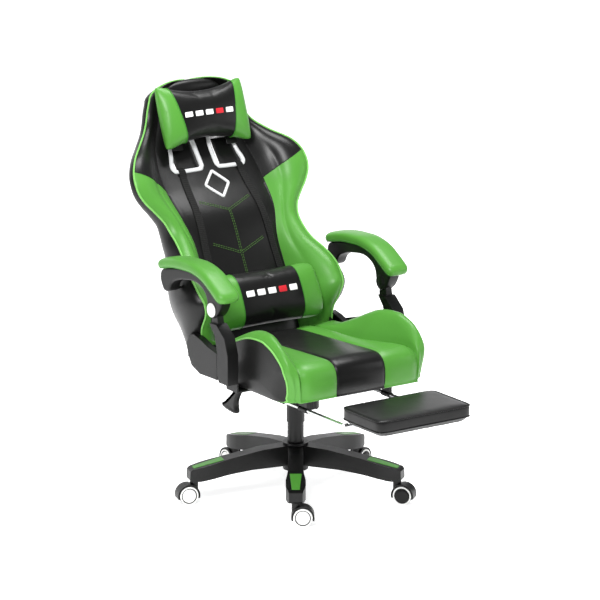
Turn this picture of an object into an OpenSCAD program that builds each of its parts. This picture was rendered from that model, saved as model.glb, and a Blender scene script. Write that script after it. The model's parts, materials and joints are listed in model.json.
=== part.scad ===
// Reclining gaming chair with linked armrests, pull-out footrest, gas lift and five-spoke castor base.
// Frame: origin on the floor under the gas lift, +Z up, the sitter faces -Y, the sitter's right is -X.

/* [Base] */
// Distance from the gas lift to a castor stem
castor_radius = 322; // [290:1:370]
// Number of degrees that the front spoke is turned from straight ahead
spoke_turn = -34; // [-36:1:36]
// Height of the hub's top face
hub_top = 165; // [156:1:180]
// Outer diameter of the hub
hub_d = 78; // [72:1:96]
// Width of a spoke at its widest
spoke_w = 60; // [50:1:72]
// Diameter of a castor wheel
wheel_d = 58; // [50:1:62]
// Width of one of a castor's two wheels
wheel_w = 19; // [14:1:21]
// Distance from a castor's stem to its axle
castor_trail = 21; // [16:1:24]
// Diameter of a castor's stem
stem_d = 11; // [9:1:12]

/* [Gas lift] */
// Outer diameter of the gas lift's fixed tube
tube_d = 50; // [44:1:54]
// Diameter of the gas lift's piston rod
rod_d = 28; // [24:1:30]
// Height of the fixed tube's top
tube_top = 243; // [225:1:247]
// Wall of the sliding column sleeve
sleeve_wall = 2.2; // [1.5:0.1:4]

/* [Seat] */
// Height of the seat's flat underside
seat_z = 393; // [386:1:440]
// Width of the seat between its outer side panels
seat_w = 510; // [470:1:560]
// Distance from the gas lift to the seat's front edge
seat_front = 345; // [325:1:400]
// Width of the middle cushion between the side wings
cushion_w = 300; // [260:1:340]
// Thickness of the cushion at its rear edge
cushion_t = 90; // [70:1:110]
// Rise of the cushion's top from its rear to its front
cushion_rise = 20; // [10:1:30]
// Height of a side wing's crest over the underside
wing_h = 187; // [150:1:210]
// Thickness of the seat board
board_t = 12; // [9:1:18]

/* [Backrest] */
// Lean of the backrest from vertical, as stored
lean = 26; // [15:1:35]
// Distance from the gas lift to the recline hinge
hinge_y = 160; // [150:1:200]
// Height of the recline hinge over the seat's underside
hinge_up = 68; // [60:1:90]
// Length of the backrest from the recline hinge to its top
back_len = 845; // [760:1:900]
// Width of the backrest across the shoulders
shoulder_w = 626; // [560:1:680]
// Thickness of the backrest's foam in front of its shell
foam_t = 38; // [30:1:50]

/* [Armrests] */
// Distance from the seat's outer side to the middle of an armrest
arm_gap = 50; // [45:1:75]
// Width of an armrest pad
pad_w = 74; // [60:1:84]
// Width of an armrest post and beam
post_w = 38; // [30:1:44]
// Thickness of an armrest pad
pad_t = 26; // [20:1:32]
// Diameter of the armrest pivot pins
pivot_d = 12; // [10:1:14]

/* [Footrest] */
// Width of the footrest pad
foot_w = 335; // [300:1:380]
// Length of the footrest pad from front to back
foot_l = 201; // [170:1:230]
// Thickness of the footrest pad
foot_t = 42; // [30:1:50]
// Distance from the gas lift to the pad's rear edge when pulled out
foot_back = 473; // [465:1:500]
// Distance between the two footrest rods
rod_span = 300; // [280:1:320]
// Diameter of a footrest rod
slide_d = 12; // [10:1:14]

/* [Fits] */
// Radial clearance of a running fit
run_gap = 0.05; // [0.02:0.01:0.1]
// Gap between pieces that move past each other
move_gap = 0.5; // [0.4:0.1:1]
// Gap between soft pieces and their neighbours
soft_gap = 1; // [0.5:0.1:2]

/* [Hidden] */
$fn = 64;
CASTORS = [0, 1, 2, 3, 4];
// A castor's own turn about its stem, from trailing straight outwards
castor_turns = [90, 0, 0, 0, 0];

black = "#1b1b1a";
green = "#6fbf4b";
steel = "#b9bcbf";

// Derived heights and places
hub_bottom = 80;
spoke_end = castor_radius + 18;
spoke_low = 73;
// The sloping stretch of a spoke's top, as (radius, height)
insert_top = [spoke_end - 118, hub_top - 31];
spoke_tip = [spoke_end - 8, hub_top - 54];
tube_r = tube_d / 2;
rod_r = rod_d / 2;
sleeve_r = tube_r + move_gap + sleeve_wall;
plate_t = 6;
plate_z = seat_z - plate_t;
housing_z = plate_z - 54;
housing_w = 120;
housing_wall = 3;
tilt_y = -70;
tilt_z = plate_z - 20;
rod_top = plate_z - 24;
wing_in = cushion_w / 2 + soft_gap;
seat_half = seat_w / 2;
seat_rear = hinge_y - 20;
hinge_z = seat_z + hinge_up;
bracket_in = seat_half - 29;
plate_gap = move_gap;
recliner_t = 5;
arm_span = seat_w + 2 * arm_gap;
arm_x = arm_span / 2;
arm_in = arm_x - post_w / 2;
// Post: low pivot on the seat bracket, high pivot on the beam
post_low = [hinge_y - 245, hinge_z - 14];
post_rise = [47, 184];
post_high = post_low + post_rise;
// The beam's rear pivot on the backrest closes the parallelogram
rear_pivot = [hinge_y, hinge_z] + post_rise;
pivot_r = pivot_d / 2;
rod_z = seat_z - 40;
slide_r = slide_d / 2;
guide_r = slide_r + 3;
foot_axle_y = -(foot_back + 7);
foot_low = rod_z + guide_r + 3;
axle_r = 5;
shoulder = shoulder_w / 2;

// Places a child in the leaning frame of the backrest: x across, y backwards, z up along the back
module on_back() {
    translate([0, hinge_y, hinge_z]) rotate([-lean, 0, 0]) children();
}

// Extrudes an outline drawn in (y, z) across x, from x0 to x1
module across(x0, x1) {
    translate([x0, 0, 0]) rotate([90, 0, 90]) linear_extrude(x1 - x0) children();
}

// Extrudes an outline drawn in (x, z) along y, from y0 to y1
module along(y0, y1) {
    translate([0, y1, 0]) rotate([90, 0, 0]) linear_extrude(y1 - y0) children();
}

// Cylinder along x from x0 to x1 at (y, z)
module cross_pin(r, x0, x1, y, z) {
    translate([x0, y, z]) rotate([0, 90, 0]) cylinder(r = r, h = x1 - x0);
}

// Cylinder along y from y0 to y1 at (x, z)
module long_pin(r, y0, y1, x, z) {
    translate([x, y0, z]) rotate([-90, 0, 0]) cylinder(r = r, h = y1 - y0);
}

// Mirrors a child drawn on the sitter's left over to the right when side is -1
module sided(side) {
    if (side > 0) children();
    else mirror([1, 0, 0]) children();
}

// --- Base ---

module spoke_places() {
    for (k = CASTORS) rotate(-90 + spoke_turn + 72 * k) children();
}

// Spoke outline seen from the side, in (radius, height)
module spoke_side() {
    polygon([
        [0, hub_top - 4], [110, hub_top - 12], [176, hub_top - 23], insert_top, spoke_tip,
        [spoke_end - 1, spoke_tip.y - 6], [spoke_end, spoke_low + 5], [spoke_end - 4, spoke_low],
        [spoke_end - 32, spoke_low], [spoke_end - 118, spoke_low + 12], [spoke_end - 195, spoke_low + 20],
        [0, spoke_low + 24]
    ]);
}

// Spoke outline seen from above, in (radius, across)
module spoke_plan() {
    half = [[0, 23], [200, 23], [spoke_end - 110, 25], [spoke_end - 72, spoke_w / 2],
            [spoke_end - 40, spoke_w / 2], [spoke_end - 14, 25], [spoke_end, 20]];
    polygon(concat(half, [for (i = [len(half) - 1 : -1 : 0]) [half[i].x, -half[i].y]]));
}

insert_from = 108;
insert_to = 14;
insert_t = 3;

// Tapered green cover, in (radius, across)
module insert_plan(grow) {
    polygon([
        [spoke_end - insert_from - grow, -18 - grow], [spoke_end - insert_to + grow, -12 - grow],
        [spoke_end - insert_to + grow, 12 + grow], [spoke_end - insert_from - grow, 18 + grow]
    ]);
}

// Layer of the spoke's sloping top, as deep as an insert
module insert_layer(depth) {
    slope = atan2(insert_top.y - spoke_tip.y, spoke_tip.x - insert_top.x);
    translate([insert_top.x, 0, insert_top.y]) rotate([0, slope, 0])
        translate([0, -50, -depth]) cube([130, 100, depth + 20]);
}

module star_base() {
    color(black) difference() {
        union() {
            translate([0, 0, hub_bottom]) cylinder(d = hub_d, h = hub_top - hub_bottom);
            spoke_places() intersection() {
                rotate([90, 0, 0]) translate([0, 0, -60]) linear_extrude(120) spoke_side();
                linear_extrude(hub_top) spoke_plan();
            }
        }
        translate([0, 0, hub_bottom - 1]) cylinder(r = tube_r, h = hub_top);
        spoke_places() intersection() {
            insert_layer(insert_t);
            linear_extrude(hub_top) insert_plan(0);
        }
        spoke_places() translate([castor_radius, 0, spoke_low - 1])
            cylinder(d = stem_d + 2 * run_gap, h = 33);
    }
}

module base_inserts() {
    color(green) spoke_places() intersection() {
        insert_layer(insert_t);
        linear_extrude(160) insert_plan(-0.2);
        rotate([90, 0, 0]) translate([0, 0, -60]) linear_extrude(120)
            translate([0, 1.2]) spoke_side();
    }
}

module gas_tube() {
    floor_t = 8;
    color(black) translate([0, 0, hub_bottom]) difference() {
        cylinder(r = tube_r, h = tube_top - hub_bottom);
        translate([0, 0, floor_t]) cylinder(r = rod_r + run_gap, h = tube_top - hub_bottom);
    }
}

// --- Castors ---

module castor_place(k) {
    rotate(-90 + spoke_turn + 72 * k) translate([castor_radius, 0, 0]) rotate(castor_turns[k]) children();
}

web_t = 3;
wheel_side = 0.4;
wheel_edge = 1.5;
pocket_gap = 1.2;
cover_t = 4.6;
castor_axle_r = 4;
hood_w = 2 * (wheel_w + wheel_side) + web_t - 2;

// Cylinder along a castor's axle, from y0 to y1
module axle_round(r, y0, y1) {
    translate([castor_trail, y1, wheel_d / 2]) rotate([90, 0, 0]) cylinder(r = r, h = y1 - y0);
}

// Hood over the twin wheels, with its steel stem and its axle as separate solids
module castor_hood(k) {
    wheel_r = wheel_d / 2;
    hood_r = wheel_r + pocket_gap + cover_t;
    // The stem ends over the wheels
    stem_low = wheel_r + 26;
    pocket_to = web_t / 2 + wheel_side + wheel_w + 5;
    color(black) castor_place(k) {
        difference() {
            union() {
                intersection() {
                    axle_round(hood_r, -hood_w / 2, hood_w / 2);
                    translate([-50, -50, wheel_r - 9]) cube([150, 100, 100]);
                }
                translate([0, 0, wheel_r + 6]) cylinder(r = 12.5, h = spoke_low - 1 - wheel_r - 6);
            }
            axle_round(wheel_r + pocket_gap, web_t / 2, pocket_to);
            axle_round(wheel_r + pocket_gap, -pocket_to, -web_t / 2);
            axle_round(castor_axle_r + run_gap, -10, 10);
            translate([0, 0, stem_low - 0.5]) cylinder(d = stem_d + 2 * run_gap, h = 80);
        }
        translate([0, 0, stem_low]) cylinder(d = stem_d, h = spoke_low + 30 - stem_low);
        axle_round(castor_axle_r, -wheel_w, wheel_w);
    }
}

module castor_wheels(k) {
    wheel_r = wheel_d / 2;
    inner = web_t / 2 + wheel_side;
    color("#e8e8e6") castor_place(k) difference() {
        for (start = [inner, -inner - wheel_w]) {
            axle_round(wheel_r, start + wheel_edge, start + wheel_w - wheel_edge);
            axle_round(wheel_r - 2, start, start + wheel_w);
        }
        axle_round(castor_axle_r + run_gap, -wheel_w - 0.5, wheel_w + 0.5);
    }
}

// --- Lift and tilt mechanism ---

module gas_rod() {
    // The lowest end clears the tube's floor when the lift is all the way down
    rod_low = 150;
    color(steel) translate([0, 0, rod_low]) cylinder(r = rod_r, h = rod_top - rod_low);
}

module column_sleeve() {
    sleeve_low = tube_top - 14;
    color(black) translate([0, 0, sleeve_low]) difference() {
        cylinder(r = sleeve_r, h = housing_z - sleeve_low);
        translate([0, 0, -1]) cylinder(r = tube_r + move_gap, h = housing_z);
    }
}

// Housing outline seen from the side; its top falls away behind the tilt pin
module housing_side() {
    polygon([
        [tilt_y - 36, housing_z], [90, housing_z], [90, plate_z - 42], [tilt_y + 8, plate_z - 4],
        [tilt_y - 36, plate_z - 4]
    ]);
}

module mechanism_housing() {
    half = housing_w / 2;
    color(black) difference() {
        union() {
            difference() {
                across(-half, half) housing_side();
                translate([-half + housing_wall, tilt_y - 33, housing_z + housing_wall])
                    cube([housing_w - 2 * housing_wall, 300, 80]);
            }
            // Rear wall
            translate([-half, 90 - housing_wall, housing_z]) cube([housing_w, housing_wall, 10]);
            // Socket for the gas rod
            translate([0, 0, housing_z]) cylinder(r = rod_r + 7, h = rod_top - housing_z - 3);
        }
        translate([0, 0, housing_z - 1]) cylinder(r = rod_r + run_gap, h = 80);
        cross_pin(6, -half - 1, half + 1, tilt_y, tilt_z);
        // Slot that the height lever's bush tilts in
        translate([-half - 1, lever_y - bush_r - 4, housing_z + housing_wall + 2])
            cube([5, 2 * bush_r + 8, 60]);
        // Hole for the tension bolt
        translate([0, tension_y, housing_z - 1]) cylinder(r = 6 + run_gap, h = 30);
    }
}

lever_y = 15;
lever_z = plate_z - 21;
bush_r = 8;
// Length of the cross pin in the lever bar, whose corners just clear the 12 mm bore
lever_pin = 11.2;
ear_in = housing_w / 2 + 1.1;
ear_t = 5;
tension_y = -78;

module tilt_pin() {
    color(steel) cross_pin(6, -housing_w / 2 - 7, housing_w / 2 + 7, tilt_y, tilt_z);
}

module tension_knob() {
    color(black) translate([0, tension_y, 0]) {
        translate([0, 0, housing_z - 44]) difference() {
            cylinder(r = 27, h = 40);
            for (a = [0 : 45 : 315]) rotate(a) translate([30, 0, -1]) cylinder(r = 6, h = 42);
        }
        translate([0, 0, housing_z - 5]) cylinder(r = 6, h = 4 + housing_wall + 5);
    }
}

module lever_bush() {
    color(black) difference() {
        cross_pin(bush_r, -housing_w / 2 - 14, -housing_w / 2 + 12, lever_y, lever_z);
        cross_pin(6, -housing_w / 2 - 15, -housing_w / 2 + 13, lever_y, lever_z);
    }
}

// Steel lever bar with a moulded paddle that hangs below the seat's edge
module height_lever() {
    paddle = [
        [-20, 390], [8, 392], [22, 366], [46, 344], [66, 330], [80, 322], [76, 312], [50, 306], [16, 303],
        [6, 306], [8, 330], [4, 350], [-10, 372]
    ];
    drop = [0, lever_z - 385];
    color(black) {
        across(-214, -198) polygon([for (p = paddle) p + drop]);
        cross_pin(4.5, -198, -housing_w / 2 + 8, lever_y, lever_z);
        // Cross pin that the lever rocks on inside its bush
        long_pin(2, lever_y - lever_pin / 2, lever_y + lever_pin / 2, -housing_w / 2 - 2, lever_z);
    }
}

// --- Seat ---

module mechanism_plate() {
    color(black) difference() {
        union() {
            translate([-100, -118, plate_z]) cube([200, 226, plate_t]);
            for (s = [-1, 1]) sided(s) translate([ear_in, tilt_y - 16, tilt_z - 12])
                cube([ear_t, 32, plate_z - tilt_z + 13]);
            // Ear that guides the height lever's bush
            translate([-ear_in - ear_t, lever_y - 14, lever_z - 12])
                cube([ear_t, 28, plate_z - lever_z + 13]);
        }
        cross_pin(bush_r + run_gap, -100, 0, lever_y, lever_z);
        cross_pin(6 + run_gap, -100, 100, tilt_y, tilt_z);
        for (p = seat_bolt_places) translate([p.x, p.y, plate_z - 1]) cylinder(r = 3.2, h = 20);
    }
}

seat_bolt_places = [[-85, -100], [85, -100], [-85, 90], [85, 90]];

module seat_bolts() {
    color(steel) for (p = seat_bolt_places) translate([p.x, p.y, 0]) {
        translate([0, 0, plate_z - 4]) cylinder(r = 6.5, h = 4, $fn = 6);
        translate([0, 0, plate_z - 4]) cylinder(r = 3, h = plate_t + 4 + board_t - 2);
    }
}

module seat_board() {
    half = seat_half - 40;
    color("#a98b63") difference() {
        translate([-half, -seat_front + 20, seat_z])
            cube([2 * half, seat_front - 20 + seat_rear - 8, board_t]);
        for (p = seat_bolt_places) translate([p.x, p.y, seat_z - 1]) cylinder(r = 3, h = 20);
    }
}

// Cushion outline seen from the side; its flat top is the seat's face
module cushion_side() {
    polygon([
        [-seat_front, seat_z + 1], [-seat_front + 19, seat_z + 1], [-seat_front + 19, seat_z + board_t],
        [seat_rear, seat_z + board_t], [seat_rear, seat_z + cushion_t - 8],
        [seat_rear - 40, seat_z + cushion_t],
        [-seat_front + 65, seat_z + cushion_t + cushion_rise],
        [-seat_front + 30, seat_z + cushion_t + cushion_rise - 3],
        [-seat_front + 8, seat_z + cushion_t + cushion_rise - 16],
        [-seat_front, seat_z + cushion_t + cushion_rise - 36]
    ]);
}

module seat_cushion() {
    color(black) across(-cushion_w / 2, cushion_w / 2) cushion_side();
}

// Wing outline seen from the side, with the crest two thirds of the way forward
module wing_side() {
    f = -seat_front;
    crest = seat_z + wing_h;
    polygon([
        [f + 30, seat_z], [f + 20, seat_z + 34], [f + 16, seat_z + 86], [f + 32, crest - 62],
        [f + 71, crest - 27], [f + 110, crest - 8], [f + 145, crest], [f + 194, crest - 3],
        [f + 255, crest - 19], [f + 329, crest - 55], [f + 405, crest - 94], [seat_rear, crest - 100],
        [seat_rear, seat_z]
    ]);
}

// Wing outline seen from the front, in (x, z)
module wing_front() {
    crest = seat_z + wing_h;
    polygon([
        [wing_in, seat_z + board_t + soft_gap], [seat_half - 39, seat_z + board_t + soft_gap],
        [seat_half - 39, seat_z], [seat_half - 27, seat_z],
        [seat_half, seat_z + 42], [seat_half, crest - 22], [seat_half - 16, crest - 4],
        [seat_half - 34, crest], [seat_half - 52, crest - 10], [wing_in, seat_z + cushion_t + cushion_rise]
    ]);
}

module seat_wing(side) {
    color(green) sided(side) difference() {
        intersection() {
            across(wing_in, seat_half + 1) wing_side();
            along(-seat_front - 1, seat_rear + 1) wing_front();
        }
        // Room for the recliner
        translate([bracket_in - 4, hinge_y - 130, seat_z - 1]) cube([60, 200, 120]);
    }
}

// Steel plate on the seat that carries the recline pin
module recliner_base(side) {
    color(steel) sided(side) difference() {
        union() {
            across(bracket_in, bracket_in + recliner_t) polygon([
                [hinge_y - 125, seat_z + 2], [hinge_y - 20, seat_z + 2], [hinge_y + 24, hinge_z - 22],
                [hinge_y + 30, hinge_z + 2], [hinge_y + 16, hinge_z + 26], [hinge_y - 12, hinge_z + 28],
                [hinge_y - 125, seat_z + 46]
            ]);
            // Foot under the seat board
            translate([bracket_in - 40, hinge_y - 125, seat_z - 4]) cube([45, 100, 4]);
            translate([bracket_in, hinge_y - 125, seat_z - 4]) cube([recliner_t, 100, 10]);
            cross_pin(8, bracket_in, bracket_in + 2 * recliner_t + plate_gap + 3, hinge_y, hinge_z);
        }
    }
}

cover_in = bracket_in + 2 * recliner_t + 2 * plate_gap + 1;
cover_out = seat_half + 6;

// Recliner cover seen from the side, drawn in all round by d
module cover_side(d) {
    polygon([
        [hinge_y - 126 + d, seat_z - 4 + d], [hinge_y - 30, seat_z - 6 + d],
        [hinge_y + 16 - 0.7 * d, hinge_z - 57 + 0.7 * d], [hinge_y + 36 - d, hinge_z - 25 + 0.3 * d],
        [hinge_y + 43 - d, hinge_z + 9], [hinge_y + 30 - 0.7 * d, hinge_z + 33 - 0.7 * d],
        [hinge_y + 4, hinge_z + 43 - d], [hinge_y - 32, hinge_z + 36 - d],
        [hinge_y - 76, seat_z + 89 - d], [hinge_y - 126 + d, seat_z + 79 - d]
    ]);
}

// Moulded cover that hides the recliner, hollow on its inner side
module recliner_cover(side) {
    cover_wall = 3;
    color(black) sided(side) difference() {
        across(cover_in, cover_out) cover_side(0);
        across(cover_in - 1, cover_out - cover_wall) cover_side(4);
    }
}

// Upper recliner plate, bolted to the back frame, with the pin of the beam's rear pivot
module recliner_arm(side) {
    x0 = bracket_in + recliner_t + plate_gap;
    up = rear_pivot - [hinge_y, hinge_z];
    color(steel) sided(side) {
        difference() {
            across(x0, x0 + recliner_t) difference() {
                polygon([
                    [hinge_y - 22, hinge_z - 14], [hinge_y, hinge_z - 26], [hinge_y + 24, hinge_z - 14],
                    [hinge_y + 62, hinge_z + 70], [rear_pivot.x + 44, rear_pivot.y + 6],
                    [rear_pivot.x + 20, rear_pivot.y + 16], [rear_pivot.x - 12, rear_pivot.y + 12],
                    [rear_pivot.x - 14, rear_pivot.y - 10], [hinge_y + 4, hinge_z + 60]
                ]);
                translate([hinge_y, hinge_z]) circle(r = 8 + run_gap);
            }
        }
        cross_pin(pivot_r, x0 + recliner_t, arm_x + 6, rear_pivot.x, rear_pivot.y);
    }
}

// Steel bracket from under the seat to the post's low pivot
module arm_bracket(side) {
    plate_in = arm_in - move_gap - recliner_t;
    color(steel) sided(side) {
        difference() {
            union() {
                translate([150, post_low.x - 30, seat_z - 6]) cube([plate_in - 150 + recliner_t, 60, 6]);
                across(plate_in, plate_in + recliner_t) union() {
                    translate([post_low.x - 30, seat_z - 6]) square([60, post_low.y - seat_z + 6]);
                    translate(post_low) circle(r = 30);
                }
            }
        }
        cross_pin(pivot_r, plate_in + recliner_t, arm_x + post_w / 2 - 6, post_low.x, post_low.y);
    }
}

module recline_lever() {
    x0 = cover_out + move_gap;
    color(black) {
        across(x0, x0 + 8) union() {
            translate([hinge_y, hinge_z]) circle(r = 16);
            polygon([
                [hinge_y - 6, hinge_z - 14], [hinge_y - 60, hinge_z + 8], [hinge_y - 120, hinge_z + 26],
                [hinge_y - 124, hinge_z + 40], [hinge_y - 112, hinge_z + 46],
                [hinge_y - 56, hinge_z + 30], [hinge_y + 4, hinge_z + 14]
            ]);
        }
    }
}

// --- Footrest ---

module footrest_guides() {
    color(black) for (s = [-1, 1]) for (y = [-285, -165]) translate([0, y, 0]) difference() {
        union() {
            long_pin(guide_r, 0, 40, s * rod_span / 2, rod_z);
            translate([s * rod_span / 2 - 4, 0, rod_z + slide_r + 1])
                cube([8, 40, seat_z - rod_z - slide_r - 1]);
            translate([s * rod_span / 2 - 16, 0, seat_z - 3]) cube([32, 40, 3]);
        }
        long_pin(slide_r + run_gap, -1, 41, s * rod_span / 2, rod_z);
    }
}

module footrest_rods() {
    color(steel) for (s = [-1, 1]) {
        difference() {
            union() {
                long_pin(slide_r, foot_axle_y + axle_r + 1, 40, s * rod_span / 2, rod_z);
                cross_pin(slide_r + 3, s * rod_span / 2 - slide_r - 1.5, s * rod_span / 2 + slide_r + 1.5,
                    foot_axle_y, rod_z);
            }
            cross_pin(axle_r, -200, 200, foot_axle_y, rod_z);
        }
    }
}

module footrest_axle() {
    half = rod_span / 2 + slide_r + 3;
    color(steel) cross_pin(axle_r, -half, half, foot_axle_y, rod_z);
}

module footrest_brackets() {
    bracket_w = 12;
    color(steel) for (s = [-1, 1]) translate([s * (rod_span / 2 - 24), 0, 0]) difference() {
        union() {
            cross_pin(axle_r + 3.5, -bracket_w / 2, bracket_w / 2, foot_axle_y, rod_z);
            translate([-bracket_w / 2, foot_axle_y - 90, foot_low - 3]) cube([bracket_w, 96, 3]);
            across(-bracket_w / 2, bracket_w / 2) polygon([
                [foot_axle_y - 60, foot_low - 3], [foot_axle_y - 6, rod_z - 5],
                [foot_axle_y + 6, rod_z + 4], [foot_axle_y + 6, foot_low]
            ]);
        }
        cross_pin(axle_r + run_gap, -20, 20, foot_axle_y, rod_z);
    }
}

module footrest_board() {
    color("#a98b63") translate([-foot_w / 2 + 12, -foot_back - foot_l + 12, foot_low])
        cube([foot_w - 24, foot_l - 24, 9]);
}

module footrest_pad() {
    color(black) translate([-foot_w / 2, -foot_back - foot_l, foot_low + 9]) cube([foot_w, foot_l, foot_t]);
}

// --- Backrest ---

// Half-width of the backrest at each height up the back, as a share of the shoulder's half-width
back_half = [
    [30, 0.76], [75, 0.775], [106, 0.80], [141, 0.82], [181, 0.825], [227, 0.80], [278, 0.75],
    [323, 0.735], [364, 0.745], [400, 0.78], [434, 0.856], [463, 0.93], [495, 0.985], [529, 1],
    [564, 0.98], [602, 0.914], [654, 0.75], [699, 0.62], [732, 0.566], [761, 0.543], [790, 0.51]
];
back_stretch = back_len / 845;

// Backrest outline seen square on, in (x, up the back)
module back_outline(inset) {
    half = [for (p = back_half) [p.y * shoulder - inset, p.x * back_stretch]];
    crown = [[140 - inset, 816 * back_stretch], [100 - inset, back_len - 12 - inset],
             [50, back_len - 2 - inset], [0, back_len - inset]];
    right = concat([[half[0].x, -10]], half, crown);
    polygon(concat(right, [for (i = [len(right) - 1 : -1 : 0]) [-right[i].x, right[i].y]]));
}

// Front surface of the middle of the backrest, as (forward, up the back)
pad_front = [
    [-36, -10], [-25, 100], [-25, 269], [-32, 409], [-65, 501], [-89, 597], [-97, 642], [-92, 720],
    [-70, 790], [-42, 845]
];
// Front edge of the side bolsters, as (forward, up the back)
bolster_front = [
    [10, 0], [16, 14], [50, 34], [98, 68], [104, 106], [98, 141], [85, 181], [58, 227], [22, 278], [0, 323],
    [-16, 364], [-20, 400], [-18, 463], [-12, 529], [-25, 602], [-62, 654], [-82, 699], [-82, 740],
    [-66, 790], [-38, 845]
];
// Rear of the shell, as (forward, up the back)
shell_rear = [
    [-95, -10], [-100, 137], [-100, 270], [-108, 390], [-125, 453], [-146, 513], [-156, 563],
    [-172, 640], [-180, 720], [-174, 790], [-130, 845]
];

function stretched(list) = [for (p = list) [p.x, p.y * back_stretch]];
function moved(list, d) = [for (p = list) [p.x + d, p.y]];
function reversed(list) = [for (i = [len(list) - 1 : -1 : 0]) list[i]];

// Slab between a front line and a rear line, across x from x0 to x1
module back_slab(front, rear, x0, x1) {
    points = concat(stretched(front), reversed(stretched(rear)));
    across(x0, x1) polygon([for (p = points) [-p.x, p.y]]);
}

shell_front = moved(pad_front, -foam_t);
frame_t = 10;
frame_x = 118;

ring_low = 556 * back_stretch;
ring_high = 640 * back_stretch;

// Harness opening, in (x, up the back), grown all round
module ring_outline(grow) {
    polygon([
        [30 - grow, ring_high + grow], [24 - grow, ring_low + 22], [38 - grow / 2, ring_low - grow],
        [118 + grow / 2, ring_low - grow], [132 + grow, ring_low + 18], [104 + grow, ring_high + grow]
    ]);
}

module ring_holes(grow) {
    for (s = [-1, 1]) sided(s) along(-60, 260) ring_outline(grow);
}

// Slots that the recliner plates and the beam pins pass through
module recliner_slots() {
    x0 = bracket_in + recliner_t + plate_gap;
    for (s = [-1, 1]) sided(s) {
        across(x0 - 1, x0 + recliner_t + 1) polygon([
            [hinge_y - 45, hinge_z - 60], [hinge_y + 60, hinge_z - 60], [hinge_y + 76, hinge_z + 70],
            [rear_pivot.x + 56, rear_pivot.y + 28], [rear_pivot.x - 24, rear_pivot.y + 24],
            [rear_pivot.x - 26, rear_pivot.y - 10], [hinge_y - 10, hinge_z + 60]
        ]);
        cross_pin(pivot_r + 1, x0, arm_x, rear_pivot.x, rear_pivot.y);
        // Room for the recliner base and cover
        across(bracket_in - 2, cover_out + 30) union() {
            translate([hinge_y, hinge_z]) circle(r = 52);
            polygon([[hinge_y - 90, hinge_z - 60], [hinge_y + 40, hinge_z - 60], [hinge_y, hinge_z + 46],
                     [hinge_y - 90, hinge_z + 60]]);
        }
    }
}

module back_pad() {
    color(black) difference() {
        on_back() difference() {
            intersection() {
                back_slab(pad_front, shell_front, -wing_back, wing_back);
                along(-60, 260) back_outline(2);
            }
            ring_holes(4);
        }
    }
}

wing_back = 148;

module back_bolster(side) {
    color(green) difference() {
        sided(side) on_back() intersection() {
            back_slab(bolster_front, shell_front, wing_back + soft_gap, shoulder + 10);
            along(-160, 260) back_outline(0);
        }
        // Sloping inner face that the sitter's side and the lumbar pillow rest against
        sided(side) on_back() linear_extrude(back_len)
            polygon([
                [wing_back - 1, 20], [wing_back - 1, -160], [wing_back + 110, -160], [wing_back + 2, 20]
            ]);
        recliner_slots();
    }
}

// Hollow black shell behind the foam
module back_shell() {
    color(black) difference() {
        on_back() difference() {
            intersection() {
                back_slab(moved(shell_front, -soft_gap), shell_rear, -shoulder - 10, shoulder + 10);
                along(-60, 260) back_outline(0);
            }
            // Cavity for the steel frame
            for (s = [-1, 1]) back_slab(moved(shell_front, 5), moved(shell_front, -frame_t - 12),
                s * frame_x - 13, s * frame_x + 13);
            for (h = frame_bars) translate([-frame_x, -bar_depth(h) - 13, h * back_stretch - 12])
                cube([2 * frame_x, 25, 24]);
            ring_holes(0);
        }
        recliner_slots();
    }
}

// Heights of the frame's cross bars, up the back
frame_bars = [60, 300, 500, 720];
function bar_depth(h) = lookup(h, [for (p = moved(pad_front, -foam_t - 11)) [p.y, p.x]]);

// Steel frame: two curved uprights joined by cross bars
module back_frame() {
    color(steel) on_back() {
        for (s = [-1, 1]) intersection() {
            back_slab(moved(shell_front, -soft_gap), moved(shell_front, -frame_t - 8),
            s * frame_x - 11, s * frame_x + 11);
            translate([-400, -200, 0]) cube([800, 500, 770 * back_stretch]);
        }
        for (h = frame_bars) translate([-frame_x + 11, -bar_depth(h) - 8, h * back_stretch - 8])
            cube([2 * frame_x - 22, 16, 16]);
    }
}

// Moulded trims that line the harness openings
module harness_rings() {
    color(steel) on_back() for (s = [-1, 1]) sided(s) intersection() {
        along(-60, 260) difference() {
            ring_outline(3.5);
            ring_outline(-9);
        }
        back_slab(moved(pad_front, 3), moved(pad_front, -16), 0, 200);
    }
}

// Woven straps that hold the two pillows
strap_w = 26;
// Distance of a strap from the middle at its lower and upper end
strap_foot = 124;
strap_head = 100;
module pillow_straps() {
    low = 196 * back_stretch;
    color(black) on_back() for (s = [-1, 1]) intersection() {
        back_slab(moved(pad_front, 6.5), moved(pad_front, 4.5), -200, 200);
        along(-60, 260) polygon([
            [s * strap_foot - strap_w / 2, low], [s * strap_foot + strap_w / 2, low],
            [s * strap_head + strap_w / 2, ring_high], [s * strap_head - strap_w / 2, ring_high]
        ]);
    }
}

// Buckles under the head pillow that slide in front of the straps as it is lowered
module strap_buckles() {
    buckle = [40, 5, 28];
    // Depth of their rear faces behind the hinge line, clear of the straps at the lowest setting
    buckle_rear = 75;
    color(black) on_back() for (s = [-1, 1])
        translate([s * strap_head - buckle.x / 2, buckle_rear - buckle.y, ring_high - 16]) cube(buckle);
}

// Soft pillow: a flat-sided bolster, round in section, thin at its ends
module pillow(width, height, depth) {
    half = [[-0.5, 0.30], [-0.40, 0.44], [-0.2, 0.5], [0.2, 0.5], [0.40, 0.44], [0.5, 0.30]];
    front = [for (p = half) [p.x * width, p.y * depth]];
    intersection() {
        linear_extrude(height, center = true)
            polygon(concat(front, [for (p = reversed(half)) [p.x * width, -p.y * depth]]));
        rotate([0, 90, 0]) linear_extrude(width, center = true) polygon([
            for (a = [0 : 20 : 340]) [cos(a) * height / 2 * 1.02, sin(a) * depth / 2 * 1.02]
        ]);
    }
}

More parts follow.
